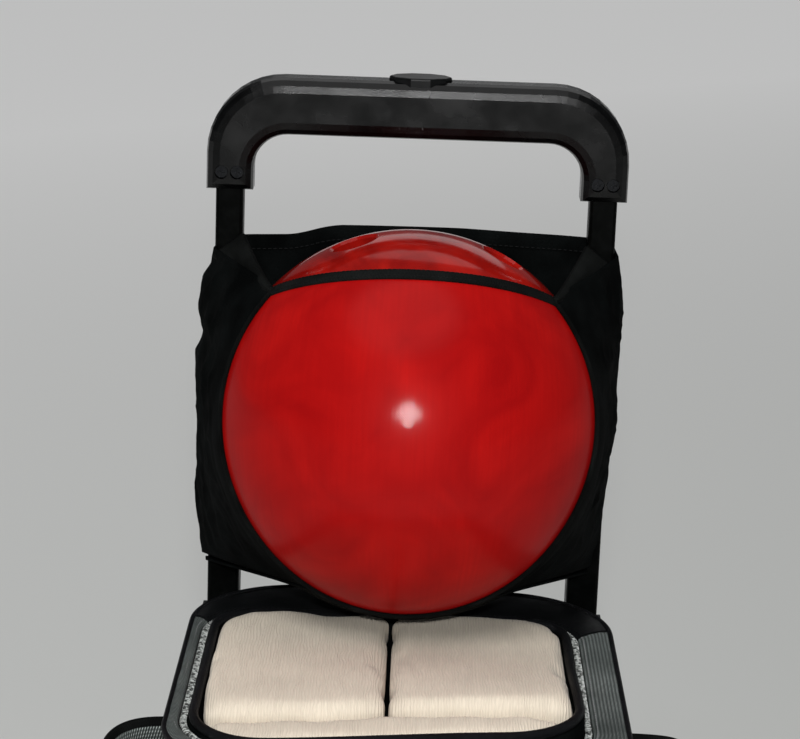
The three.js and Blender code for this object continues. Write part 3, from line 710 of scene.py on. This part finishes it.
def build_binding():
    path, ups = [], []
    for k in range(97):
        angle = math.radians(mix(154, 26, k / 96))
        p = mouth_point(angle, MESH_R + 0.4)
        drop = 2.5 * abs(math.cos(angle)) ** 6
        path.append(by_ball(p - UP * drop))
        radial = p.normalized()
        ups.append((MOUTH_UP - radial * MOUTH_UP.dot(radial)).normalized())
    binding = ribbon("pouch_binding", path, ups, 3.5, 1.7, HEM_CLOTH, power=3.5, steps=16)
    on(slackens(binding), "handle_lower", "pouch_top_binding", slot="pouch_binding")
    for name, rise in (("upper", 2.4), ("lower", -2.4)):
        row = [p + (u * rise + (p - BALL).normalized() * 1.75) * MM for p, u in zip(path, ups)]
        made = stitches("binding_stitches_" + name, row, BLACK_THREAD, 2.6, 1.9, 0.22)
        on(slackens(made), "handle_lower")


def clear_of_ball(p, gap):
    """Moves a point out to at least gap mm from the ball."""
    return p * ((BALL_R + gap) / p.length) if p.length < BALL_R + gap else p


POUCH_HALF = 124.0
POUCH_Z = (-105.0, 91.0)
BACK_Y = 86.5
WRAP_Y = 58.0
# Half width of the pouch at its rear corners by height above the ball's centre: slipped, bulging cloth.
OUTLINES = {
    -1: [
        (-105, 121.5), (-60, 124.5), (-20, 124), (20, 125.5), (34, 121),
        (48, 123.8), (66, 122), (80, 117.5), (92, 117),
    ],
    1: [
        (-105, 113), (-80, 116.5), (-45, 118), (-10, 121.5),
        (20, 120), (50, 122.5), (72, 119.5), (92, 118.5),
    ],
}


def slump(x):
    """How far the back panel's top edge hangs below the top of the pouch."""
    return 0.8 + 5.6 * smooth((-x - 42) / 34)


def crumple(p, side, amount):
    folds = crease((p.x * 0.5, p.y * 1.6, p.z + 0.35 * p.y), 34, 3 + side) * 1.9
    fine = crease((p.x, p.y, p.z * 1.3), 13, 8 + side) * 0.7
    return (folds + fine) * amount


def gusset_point(side, u, v):
    z = mix(POUCH_Z[0], POUCH_Z[1] - 3, v)
    wide = along(z, OUTLINES[side])
    z -= slump(side * wide) * v**4 * (1 - u) ** 2
    rear = Vector((side * (wide - 1), BACK_Y - 1.8, z))
    wrap = Vector((side * wide, WRAP_Y + 3, z * 0.99))
    turn = mix(-math.radians(62), CORNER, v)
    if side < 0:
        turn = math.pi - turn
    seam = round_ball(turn, seam_angle(turn), BALL_R + 3.2)
    bend = 0.22
    if u < bend:
        p = rear.lerp(wrap, u / bend)
    else:
        way = (u - bend) / (1 - bend)
        p = wrap.lerp(seam, way)
        p.x += side * 3.5 * math.sin(math.pi * way) * (1 - way)
    edge = min(1.0, u / 0.1) * min(1.0, (1 - u) / 0.25) * min(1.0, v / 0.06) * min(1.0, (1 - v) / 0.06)
    p.x += side * crumple(p, side, 0.9) * edge
    p.y += crumple(p, side + 5, 0.7) * edge * 0.6
    return clear_of_ball(p, 2.9)


def build_gussets():
    for name, side in SIDES:
        rows = [[by_ball(gusset_point(side, i / 70, j / 96)) for i in range(71)] for j in range(97)]
        gusset = sheet_of("pouch_gusset_cloth_" + name, rows, BLACK_CLOTH, 1.3, outward=-side)
        on(gusset, "handle_lower", "pouch_gusset_" + name, slot="pouch_cloth")


def build_seam():
    """The welt that joins the mesh to the gussets and the bottom."""
    turns = [mix(math.pi - CORNER, 2 * math.pi + CORNER, k / 160) for k in range(161)]
    line = [by_ball(round_ball(turn, seam_angle(turn), BALL_R + 3.3)) for turn in turns]
    on(rope("pouch_seam_welt", line, 1.25, HEM_CLOTH), "handle_lower")


def back_point(x, z):
    across = max(0.0, 1 - (x / POUCH_HALF) ** 2) ** 1.5
    y = BACK_Y + 27 * (1 - (z / 150) ** 2) * across
    fold = crease((x * 0.9, 0, z * 1.2), 55, 2) * 1.3 * min(1, across * 4)
    return Vector((x, y + fold, z))


def build_back():
    rows = []
    for j in range(61):
        z = mix(POUCH_Z[0], POUCH_Z[1], j / 60)
        left, right = along(z, OUTLINES[-1]) - 1, along(z, OUTLINES[1]) - 1
        row = [mix(-left, right, i / 80) for i in range(81)]
        rows.append([by_ball(back_point(x, z - slump(x) * (j / 60) ** 4)) for x in row])
    back = sheet_of("pouch_back_cloth", rows, BLACK_CLOTH, 2.0, outward=-1)
    on(back, "handle_lower", "pouch_back_panel", slot="pouch_cloth")
    path = []
    for k in range(81):
        x = mix(-116, 116, k / 80)
        path.append(by_ball(back_point(x, POUCH_Z[1] - 4 - slump(x)) + Vector((0, -0.4, 0))))
    hem = ribbon("pouch_back_hem", path, Z, 5.0, 2.0, BLACK_CLOTH, power=4.0)
    on(hem, "handle_lower", slot="pouch_cloth")
    row = [p + Vector((0, -2.05, -3.4)) * MM for p in path]
    on(stitches("back_hem_stitches", row, BLACK_THREAD, 3.2, 2.4, 0.3), "handle_lower")


def build_straps():
    """At each top corner the binding turns into a folded strap that holds the mouth to the tube."""
    corner = round_ball(CORNER - math.radians(1.5), seam_angle(CORNER), BALL_R + 3.6)
    along_mouth = mouth_point(math.radians(36), BALL_R + 4.4)
    tube = span("inner_tube_right")[0]
    for name, side in SIDES:
        rows = []
        for j in range(13):
            v = j / 12
            row = []
            for i in range(29):
                u = i / 28
                lower = corner.lerp(Vector((tube[1] - 0.5, 58.0, 79)), u)
                upper = along_mouth.lerp(Vector((tube[0] - 1, 58.0, 92)), u)
                p = lower.lerp(upper, v)
                sag = math.sin(math.pi * u)
                p.z -= 4.0 * sag * (1 - 0.6 * v)
                p.y += 3.4 * math.sin(2 * math.pi * v) * sag + 0.8 * crease((p.x, p.y, p.z), 14, side) * sag
                p.x = side * p.x
                row.append(by_ball(clear_of_ball(p, 3.2)))
            rows.append(row)
        strap = sheet_of("pouch_strap_" + name, rows, HEM_CLOTH, 1.8, outward=-side)
        on(strap, "handle_lower", "pouch_corner_strap_" + name, slot="pouch_cloth")
        for place, v in (("upper", 0), ("lower", 12)):
            edge = [p + Vector((0, -0.6, 0)) * MM for p in rows[v]]
            on(rope("strap_edge_%s_%s" % (name, place), edge, 1.1, HEM_CLOTH), "handle_lower")


def bottom_point(u, v):
    across = mix(-1, 1, u)
    z = POUCH_Z[0] - 1
    wide = mix(along(z, OUTLINES[-1]), along(z, OUTLINES[1]), u) - 2.4
    rear = Vector((across * wide, BACK_Y - 2.2, z))
    wrap = Vector((across * wide, WRAP_Y, z - 0.5))
    turn = mix(-math.pi + math.radians(62), -math.radians(62), u)
    seam = round_ball(turn, seam_angle(turn), BALL_R + 2.8)
    bend = 0.22
    if v < bend:
        p = rear.lerp(wrap, v / bend)
    else:
        way = (v - bend) / (1 - bend)
        p = wrap.lerp(seam, way)
        p.z -= 2.5 * math.sin(math.pi * way) * (1 - across**2)
    return clear_of_ball(p, 2.4)


def build_bottom():
    rows = [[by_ball(bottom_point(i / 70, j / 40)) for i in range(71)] for j in range(41)]
    bottom = sheet_of("pouch_bottom_cloth", rows, BLACK_CLOTH, 1.3, outward=-1)
    room, past = 10.6, 20
    for name, side in SIDES:
        (x0, x1), (y0, y1), _ = span("middle_tube_" + name)
        x, y = (x0 + x1) / 2, (y0 + y1) / 2
        left, right = (room, past) if side > 0 else (past, room)
        low, high = at(x - left, y - room, BALL_Z - 130), at(x + right, y + past, BALL_Z - 85)
        cut_away(bottom, shaped("notch", *block(low, high), BLACK_CLOTH))
    on(bottom, "handle_lower", "pouch_bottom", slot="pouch_cloth")


def build_pouch():
    build_mesh()
    build_binding()
    build_gussets()
    build_seam()
    build_back()
    build_straps()
    build_bottom()


# ---------------------------------------------------------------- lower bag
bag_x, bag_y, _ = span("base_tray")
lid_x, lid_y, lid_z = span("lid_panel")
BAG = {"x": bag_x, "y": bag_y, "front": 45.0, "rear": 62.0}
LID = {"x": lid_x, "y": lid_y, "front": 42.0, "rear": 30.0}
WALL_Z = span("front_panel")[2]
RIM_Z = span("top_rim")[2]
CENTRE = ((lid_x[0] + lid_x[1]) / 2, (lid_y[0] + lid_y[1]) / 2)
COLUMNS = 288


def lift(x, y):
    """How far the stuffed lid's top stands above its rim: most at the front right, nothing at the rear."""
    return (1.5 + 9.5 * smooth((x + 100) / 190)) * smooth((-y - 50) / 110)


def outline(of, grow=0.0):
    """A dense anticlockwise loop of points round a rounded rectangle, from the middle of its rear side."""
    (x0, x1), (y0, y1) = of["x"], of["y"]
    x0, x1, y0, y1 = x0 - grow, x1 + grow, y0 - grow, y1 + grow
    front, rear = of["front"] + grow, of["rear"] + grow
    loop = [((x0 + x1) / 2, y1)]
    for x, y, r, start in (
        (x0 + rear, y1 - rear, rear, 90),
        (x0 + front, y0 + front, front, 180),
        (x1 - front, y0 + front, front, 270),
        (x1 - rear, y1 - rear, rear, 360),
    ):
        for k in range(25):
            a = math.radians(start + 90 * k / 24)
            loop.append((x + r * math.cos(a), y + r * math.sin(a)))
    return loop


def bearings():
    """Directions from the lid's centre, chosen so that they are evenly spaced round the bag's outline."""
    loop = np.array(outline(BAG) + [outline(BAG)[0]])
    reach = np.concatenate([[0], np.cumsum(np.linalg.norm(np.diff(loop, axis=0), axis=1))])
    s = np.linspace(0, reach[-1], COLUMNS, endpoint=False)
    x, y = np.interp(s, reach, loop[:, 0]), np.interp(s, reach, loop[:, 1])
    return np.arctan2(y - CENTRE[1], x - CENTRE[0]) % (2 * math.pi)


BEARINGS = bearings()


def loop_at(of, grow=0.0):
    """Points of a grown outline in each of the bearings, as (x, y) in mm."""
    loop = np.array(outline(of, grow)) - np.array(CENTRE)
    angle = np.arctan2(loop[:, 1], loop[:, 0]) % (2 * math.pi)
    order = np.argsort(angle)
    angle, loop = angle[order], loop[order]
    angle = np.concatenate([angle - 2 * math.pi, angle, angle + 2 * math.pi])
    loop = np.concatenate([loop, loop, loop])
    found = []
    for bearing in BEARINGS:
        i = int(np.searchsorted(angle, bearing)) - 1
        a, b = loop[i], loop[i + 1]
        way = np.array([math.cos(bearing), math.sin(bearing)])
        across = b - a
        t = (a[0] * way[1] - a[1] * way[0]) / -(across[0] * way[1] - across[1] * way[0] + 1e-12)
        p = a + across * min(1.0, max(0.0, t)) + np.array(CENTRE)
        found.append((float(p[0]), float(p[1])))
    return found


def build_walls():
    """One lofted shell of cloth that sags between the bag's rim and its tray, with a seam at each corner."""
    low, high = WALL_Z
    rows = []
    flat = loop_at(BAG, -0.3)
    for j in range(73):
        v = j / 72
        z = mix(low, high, v)
        belly = math.sin(math.pi * v)
        bulge = 3.6 * belly**0.8 + 1.6 * belly * math.cos(3 * math.pi * v)
        row = []
        for x, y in flat:
            rear = smooth((y - 10) / 35)
            folds = 1.4 * wobble((x, y, z * 0.45), 46, 1) + 0.9 * crease((x, y, z * 1.5), 60, 4) * belly
            out = (bulge + folds * min(1, 6 * v) * min(1, 6 * (1 - v))) * (1 - rear)
            away = Vector((x - CENTRE[0], y - CENTRE[1])).normalized()
            row.append(at(x + away.x * out, y + away.y * out, z))
        rows.append(row)
    body = sheet_of("bag_body_cloth", rows, GREY_CLOTH, 2.6, closed=True)
    on(body, "bag", "front_panel", "rear_panel", "left_panel", "right_panel", slot="bag_cloth")
    for corner, index in enumerate(corner_columns()):
        line = [row[index] + outward(index) * 0.6 * MM for row in rows]
        on(rope("bag_corner_seam_%d" % corner, line, 1.2, PIPING), "bag")
    tray_top = span("base_tray")[2][1]
    foot = [at(x, y, tray_top + 1.2) for x, y in loop_at(BAG, 0.8)]
    on(rope("bag_foot_piping", foot, 1.6, PIPING, closed=True), "bag")


def corner_columns():
    """The column nearest each corner of the bag, anticlockwise from the front left."""
    loop = loop_at(BAG)
    (x0, x1), (y0, y1) = bag_x, bag_y
    corners = ((x0, y0), (x1, y0), (x1, y1), (x0, y1))
    return [min(range(COLUMNS), key=lambda i: math.dist(loop[i], corner)) for corner in corners]


def outward(index):
    return Vector((math.cos(BEARINGS[index]), math.sin(BEARINGS[index]), 0))


def band(name, columns, inner, outer, profile, material, closed):
    """A strip of padded cloth between two outlines. Its profile is a loop of (share outwards, height)."""
    points, uvs = [], []
    reach = 0.0
    for n, c in enumerate(columns):
        if n:
            (x0, y0), (x1, y1) = outer[columns[n - 1]], outer[c]
            reach += math.hypot(x1 - x0, y1 - y0) * MM
        for share, z in profile:
            x, y = mix(inner[c][0], outer[c][0], share), mix(inner[c][1], outer[c][1], share)
            puff = 0.35 * wobble((x, y, 0), 16, 2) + 0.3 * wobble((x, y, 0), 45, 5)
            points.append(at(x, y, z + puff * (1 if z > profile[0][1] - 1 else 0)))
            uvs.append((reach, share * 0.02))
    steps = len(profile)
    faces = grid_faces(len(columns), steps, closed_rows=closed, closed_columns=True)
    if not closed:
        faces += end_caps(len(columns), steps)
    return weld(shaped(name, points, faces, material, uvs, sharp=60))


def build_rim():
    """The padded top rim and the smooth rear yoke, with the outer piping that runs round both."""
    low, high = RIM_Z
    slot_edge = 5.0
    inner, outer = loop_at(LID, slot_edge), loop_at(BAG, -0.2)
    yoke_y = span("rear_yoke")[1][0]
    crown = 1.4
    shares = np.linspace(0.02, 0.98, 11)
    top = [(share, high - 1.2 + crown * math.sin(math.pi * share) ** 0.6) for share in shares]
    below = [(1.0, low + 0.6), (0.97, low), (0.03, low), (0.0, low + 0.6)]
    profile = [(0.0, high - 2.2), *top, (1.0, high - 2.4), *below]
    is_rear = [y > yoke_y for _, y in outer]
    start = next(i for i in range(COLUMNS) if not is_rear[i] and is_rear[i - 1])
    order = [(start + k) % COLUMNS for k in range(COLUMNS)]
    rim = [c for c in order if not is_rear[c]]
    yoke = [c for c in order if is_rear[c]]
    cover = band("top_rim_cloth", rim, inner, outer, profile, GREY_CLOTH, False)
    on(cover, "bag", "top_rim", slot="rim_cloth")
    cover = band("rear_yoke_cloth", yoke, inner, outer, profile, YOKE, False)
    on(cover, "bag", "rear_yoke", slot="yoke_cloth")
    edge = [at(x, y, high - 1.4) for x, y in loop_at(BAG, 0.5)]
    on(rope("outer_piping", edge, 1.55, PIPING, closed=True), "bag")
    sewn = loop_at(LID, slot_edge + 2.2)
    for name, columns, down, thread in (("rim", rim, 0.2, THREAD), ("yoke", yoke, 0.15, BLACK_THREAD)):
        line = [at(*sewn[c], high - down) for c in columns]
        on(stitches(name + "_stitches", line, thread, 3.0, 2.2, 0.33), "bag")


def build_lid():
    low, high = lid_z
    floor = low + 4
    rings = [
        (-30, low), (-1.2, low), (0, low + 1.2), (0, high - 0.9), (-0.9, high),
        (-5.4, high), (-6, high - 0.8), (-6, floor + 0.6), (-6.8, floor), (-30, floor),
    ]
    points = []
    for grow, z in rings:
        raised = z > floor + 1
        points += [at(x, y, z + raised * lift(x, y)) for x, y in loop_at({**LID, "rear": 31}, grow)]
    faces = grid_faces(len(rings), COLUMNS, closed_columns=True)
    points += [at(*CENTRE, low), at(*CENTRE, floor)]
    last = (len(rings) - 1) * COLUMNS
    for k in range(COLUMNS):
        k1 = (k + 1) % COLUMNS
        faces.append((len(points) - 2, k1, k))
        faces.append((len(points) - 1, last + k, last + k1))
    uvs = [(p.x, p.y) for p in points]
    lid = weld(shaped("lid_cloth", points, faces, BLACK_CLOTH, uvs, sharp=50))
    on(lid, "bag", "lid_panel", slot="lid_cloth")
    z0, z1 = span("lid_piping")[2]
    radius = (z1 - z0) / 2 + 0.1
    line = [at(x, y, (z0 + z1) / 2 + lift(x, y)) for x, y in loop_at(LID, -2.8)]
    cord = rope("lid_piping_cord", line, radius, PIPING, closed=True, resolution=5)
    on(cord, "bag", "lid_piping", slot="piping_cloth")


def build_zip():
    """The zip round the lid: woven tape in the slot, and a coil of monofilament laid along it."""
    z = span("zipper_coil")[2]
    middle = (z[0] + z[1]) / 2
    inner, outer = loop_at(LID, 0.5), loop_at(LID, 4.5)
    flat = ((0, 0), (0.05, 0.5), (0.95, 0.5), (1, 0), (0.95, -0.5), (0.05, -0.5))
    profile = [(share, middle - 2.2 + rise) for share, rise in flat]
    tape = band("zip_tape", list(range(COLUMNS)), inner, outer, profile, HEM_CLOTH, True)
    on(tape, "bag")
    line = [at(x, y, middle) for x, y in loop_at(LID, 2.5)]
    path = []
    steps = 7
    for n, (p, way) in enumerate(resampled(line, 2.5 / steps, closed=True)):
        turn = 2 * math.pi * n / steps
        side = Vector((way.y, -way.x, 0))
        path.append(p + (side * 1.6 * math.cos(turn) + Z * 0.8 * math.sin(turn)) * MM)
    coil = rope("zip_coil_wire", path, 0.46, COIL, closed=True, resolution=1)
    on(coil, "bag", "zipper_coil", slot="zipper_coil")


def blown(made, pressure=4.0, cap=5.2, frames=20):
    """Fills a closed form with air as a cloth, then keeps each point within cap mm of where it began."""
    remesh = made.modifiers.new("even", "REMESH")
    remesh.mode = "VOXEL"
    remesh.voxel_size = 4.5 * MM
    settled(made)
    before = [v.co.copy() for v in made.data.vertices]
    cover = made.modifiers.new("cover", "CLOTH")
    settings = cover.settings
    settings.quality = 6
    settings.mass = 0.25
    settings.tension_stiffness = settings.compression_stiffness = 12
    settings.bending_stiffness = 0.4
    settings.use_pressure = True
    settings.uniform_pressure_force = pressure
    settings.effector_weights.gravity = 0
    cover.point_cache.frame_start, cover.point_cache.frame_end = 1, frames
    scene = bpy.context.scene
    for number in range(1, frames + 1):
        scene.frame_set(number)
        bpy.context.view_layer.update()
    settled(made)
    scene.frame_set(1)
    for v, start in zip(made.data.vertices, before):
        moved = v.co - start
        if moved.length > cap * MM:
            v.co = start + moved * (cap * MM / moved.length)
    return made


def fitted(made, loop, level, fuller=0.7):
    """Stretches a mesh in plan until it fills an outline, given in mm, in every direction from its middle.
    Above the level its points also move out towards the edge, so that its top is broad."""
    edge = []
    for (x0, y0), (x1, y1) in zip(loop, [*loop[1:], loop[0]]):
        count = 1 + int(math.hypot(x1 - x0, y1 - y0) / 2)
        edge += [(mix(x0, x1, k / count), mix(y0, y1, k / count)) for k in range(count)]
    edge = np.array(edge)
    middle = (edge.min(axis=0) + edge.max(axis=0)) / 2
    edge -= middle
    turns, room = np.arctan2(edge[:, 1], edge[:, 0]), np.hypot(edge[:, 0], edge[:, 1])
    flat = np.array([(v.co.xy - ORIGIN.xy) / MM for v in made.data.vertices]) - middle
    angles = np.arctan2(flat[:, 1], flat[:, 0])
    limits = np.interp(angles, turns, room, period=2 * math.pi)
    shares = np.hypot(flat[:, 0], flat[:, 1]) / limits
    bins = 60
    which = ((angles / (2 * math.pi) + 0.5) * bins).astype(int) % bins
    filled = [b for b in range(bins) if (which == b).any()]
    reach = np.array([shares[which == b].max() for b in filled])
    reach = (np.roll(reach, 1) + 2 * reach + np.roll(reach, -1)) / 4
    centres = ((np.array(filled) + 0.5) / bins - 0.5) * 2 * math.pi
    shares = np.minimum(1.0, shares / np.interp(angles, centres, reach, period=2 * math.pi))
    for v, angle, limit, share in zip(made.data.vertices, angles, limits, shares):
        top = smooth((v.co.z / MM - level) / 5)
        away = (limit + 0.4 * top) * mix(share, share**fuller, top)
        v.co.x = ORIGIN.x + (middle[0] + away * math.cos(angle)) * MM
        v.co.y = ORIGIN.y + (middle[1] + away * math.sin(angle)) * MM


def closed_form(name, loop, low, high, material):
    """A flat closed form over an outline given in mm, with rounded edges."""
    count = len(loop)
    cx, cy = sum(x for x, _ in loop) / count, sum(y for _, y in loop) / count
    points = []
    rings = ((low, 1.6), (low + 2.0, 0.2), (mix(low, high, 0.5), 0.0), (high - 1.8, 0.3), (high, 1.8))
    for z, inset in rings:
        for x, y in loop:
            away = Vector((x - cx, y - cy)).normalized()
            points.append(at(x - away.x * inset, y - away.y * inset, z))
    faces = grid_faces(len(rings), count, closed_columns=True) + end_caps(len(rings), count)
    return weld(shaped(name, points, faces, material))


def corner_loop(x0, x1, y0, y1, radii, steps=8):
    """A loop round a rectangle with corner radii given front left, front right, rear right, rear left."""
    loop = []
    centres = [(x0, y0, 1, 1, 180), (x1, y0, -1, 1, 270), (x1, y1, -1, -1, 0), (x0, y1, 1, -1, 90)]
    for (x, y, sx, sy, start), r in zip(centres, radii):
        for k in range(steps + 1):
            a = math.radians(start + 90 * k / steps)
            loop.append((x + sx * r + r * math.cos(a), y + sy * r + r * math.sin(a)))
    return loop


def build_cushions():
    """Two cushions and a front pad, stuffed and sewn, in the lid's well."""
    plans = {
        "cushion_left": ((5, 5, 6, 27), 462.5),
        "cushion_right": ((5, 5, 27, 6), 462.5),
        "front_pad": ((34, 34, 4, 4), 458.8),
    }
    for node, (radii, ceiling) in plans.items():
        (x0, x1), (y0, y1), (z0, z1) = span(node)
        left = 0.5 if node != "cushion_right" else 0.2
        right = 0.5 if node != "cushion_left" else 0.2
        loop = corner_loop(x0 - left, x1 + right, y0 - 0.2, y1 + 0.2, radii)
        made = closed_form(node + "_cover", loop, z0 + 1.2, z1 - 2.4, CREAM)
        blown(made)
        middle = (z0 + z1) / 2
        fitted(made, loop, middle)
        dent_x, dent_y = x0 + 0.68 * (x1 - x0), y1 - 2
        for v in made.data.vertices:
            x, y, z = ((v.co[i] - ORIGIN[i]) / MM for i in range(3))
            top = smooth((z - middle) / 5)
            puff = 1.0 * wobble((x, y, 0), 30, 3) + 0.7 * crease((x * 0.8, y * 0.4, 0), 24, 6)
            near_edge = min(x - x0, x1 - x, y - y0, y1 - y)
            puff += 0.9 * wobble((x * 1.6, y * 1.6, 0), 15, 9) * smooth(1 - near_edge / 22)
            if node == "cushion_left":
                puff -= 4.5 * math.exp(-(((x - dent_x) / 15) ** 2) - ((y - dent_y) / 11) ** 2)
            z = max(z + puff * top, z0 + 0.3)
            if z > ceiling - 3:
                z = ceiling - 3 * math.exp((ceiling - 3 - z) / 3)
            v.co.z = (z + lift(x, y) * smooth((z - z0) / (z1 - z0))) * MM
        dressed(made, CREAM)
        soften = made.modifiers.new("soften", "SUBSURF")
        soften.levels = soften.render_levels = 2
        on(made, "bag", node, slot="cushion_cloth")


# ---------------------------------------------------------------- pockets
def half_oval(t, power=3.4):
    """Along (from -1 to 1) and out (from 0 to 1) for t from 0 to 1 round half of a squarish oval."""
    c, s = math.cos(math.pi * t), math.sin(math.pi * t)
    return -math.copysign(abs(c) ** (2 / power), c), abs(s) ** (2 / power)


def build_pocket(name, node, place, low, high, material):
    """A gaping pocket: a curved wall sewn to the panel at both ends and at its foot, with a bound mouth.
    place(t, v) gives the wall's point in mm, v from 0 at the foot to 1 at the mouth."""
    rows = []
    for j in range(44):
        v = max(0.0, (j - 3) / 40)
        shut = 1.0 if j > 2 else (0.08, 0.62, 0.9)[j]
        rows.append([place(i / 72, v, shut, low, high) for i in range(73)])
    wall = sheet_of(name + "_cloth", rows, material, 2.2, outward=1)
    on(wall, "bag", node, slot="pocket_cloth")
    mouth = rows[-1]
    hem = ribbon(name + "_hem", mouth, Z, 5.0, 1.9, HEM_CLOTH, power=3.5)
    on(hem, "bag")


def build_pockets():
    for name, sign in SIDES:
        node = "side_pocket_" + name
        (x0, x1), (y0, y1), (z0, z1) = span(node)
        panel = min(abs(x0), abs(x1)) - 0.4
        deep = max(abs(x0), abs(x1)) + 4 - panel
        droop = -5.0 if sign > 0 else 2.0

        def place(t, v, shut, low, high, sign=sign, panel=panel, deep=deep, y0=y0, y1=y1, droop=droop):
            along_y, out = half_oval(t)
            half = mix(45, 54, v)
            depth = mix(13, deep, v**1.3) * out * shut
            y = (y0 + y1) / 2 + along_y * half * sign
            z = mix(low, high, v) - (1 - shut) * 5
            folds = 1.6 * wobble((panel, y, z * 0.7), 30, sign + 4) * out * min(1, 4 * (1 - v) + 0.3)
            x = sign * max(panel + 0.4, panel + depth + folds)
            return at(x, y, z - droop * math.sin(math.pi * t) ** 2 * v**3)

        build_pocket(node, node, place, z0 + 6, z1 - 5.5, GREY_CLOTH)
    (x0, x1), (y0, y1), (z0, z1) = span("front_pocket")
    panel, deep = -y1 - 0.4, -y0 - 2.4

    def front(t, v, shut, low, high):
        along_x, out = half_oval(t, 4.5)
        half = mix(66, 71, v)
        depth = mix(14, deep - panel, v) * out * shut
        x = along_x * half
        z = mix(low, high, v) - (1 - shut) * 5
        folds = 1.4 * wobble((x, panel, z * 0.7), 34, 6) * out * min(1, 4 * (1 - v) + 0.3)
        return at(x, -max(panel + 0.4, panel + depth + folds), z - 3.0 * math.sin(math.pi * t) ** 2 * v**3)

    build_pocket("front_pocket", "front_pocket", front, z0 + 6, z1 - 5.5, GREY_CLOTH)


# ---------------------------------------------------------------- floor, light, camera
def build_stage():
    """A pale floor that runs back to the horizon, with painted shade: its colour grows darker towards the
    near right.
    """
    size = 40.0
    material, tree, shader = surface("pale_floor_painted_shade", (0.8, 0.8, 0.79), 0.9, specular=0.05)
    place = axes(tree, coordinates(tree))
    # painted shade: the floor's colour darkens towards the camera and to the right
    away = calc(tree, "SUBTRACT", place[1], calc(tree, "MULTIPLY", place[0], 0.75))
    tint(tree, shader, spread(tree, away, 0.5, 5.0), (0.575, 0.58, 0.555), (0.93, 0.925, 0.905))
    points = [(-size, -size, 0), (size, -size, 0), (size, size, 0), (-size, size, 0)]
    floor = shaped("floor", points, [(0, 1, 2, 3)], material)


def lamp(name, kind, place, towards, energy, size=1.0, angle=0.0):
    data = bpy.data.lights.new(name, kind)
    data.energy = energy
    if kind == "AREA":
        data.shape, data.size = "DISK", size
    if kind == "SUN":
        data.angle = math.radians(angle)
    made = placed(name, data)
    made.location = place
    made.rotation_euler = (Vector(towards) - Vector(place)).to_track_quat("-Z", "Y").to_euler()
    return made


def build_light(eye):
    world = bpy.data.worlds.new("studio")
    bpy.context.scene.world = world
    world.use_nodes = True
    tree = world.node_tree
    sky = tree.nodes["Background"]
    sky.inputs["Color"].default_value = (0.94, 0.96, 1.0, 1)
    glossy = lay(tree, "ShaderNodeLightPath").outputs["Is Glossy Ray"]
    tree.links.new(spread(tree, glossy, 0.0, 1.0, 0.27, 0.07), sky.inputs["Strength"])
    key = lamp("key", "SUN", BALL + Vector((-0.35, -1.2, 1.5)), BALL, 1.25, angle=24)
    key.visible_glossy = False
    lamp("ceiling", "AREA", BALL + Vector((-0.1, -0.3, 1.6)), BALL, 7.0, size=1.6)
    above = BALL + Vector((0, 0, 0.1))
    bounce = lamp("wall_bounce", "AREA", BALL + Vector((0.1, 1.5, 1.1)), above, 3.0, size=1.4)
    bounce.visible_diffuse = False
    flash = lamp("flash", "AREA", eye + Vector((0, 0.0, 0.09)), BALL, 14.0, size=0.05)
    flash.visible_glossy = False
    glint = lamp("flash_glint", "AREA", eye + Vector((0, 0.01, 0.09)), BALL, 17.0, size=0.04)
    glint.visible_diffuse = False


def build_camera():
    """Looks slightly down at the pouch from the front, turned a little about the view's axis."""
    distance, elevation, roll = 1.4, math.radians(16), math.radians(2)
    focal, width = 111.15, 36.0
    # The way to the ball's centre, which stands a little to the right of the middle and below it.
    towards = Vector((0.3825, -2.3175, -focal)).normalized()
    rolled = Matrix.Rotation(roll, 3, "Z")
    level = rolled @ towards
    size = math.hypot(level.y, level.z)
    pitched = Matrix.Rotation(math.acos(math.sin(elevation) / size) - math.atan2(level.y, -level.z), 3, "X")
    ahead = pitched @ level
    data = bpy.data.cameras.new("camera")
    data.lens, data.sensor_width = focal, width
    camera = placed("camera", data)
    yawed = Matrix.Rotation(math.atan2(ahead.x, ahead.y), 3, "Z")
    camera.rotation_euler = (yawed @ pitched @ rolled).to_euler()
    camera.location = BALL + Vector((0, -math.cos(elevation), math.sin(elevation))) * distance
    bpy.context.scene.camera = camera
    bpy.context.scene.view_settings.view_transform = "Standard"
    return camera.location.copy()


finish_cad()
build_ball()
build_spring()
build_pouch()
build_walls()
build_rim()
build_lid()
build_zip()
build_cushions()
build_pockets()
build_stage()
build_light(build_camera())
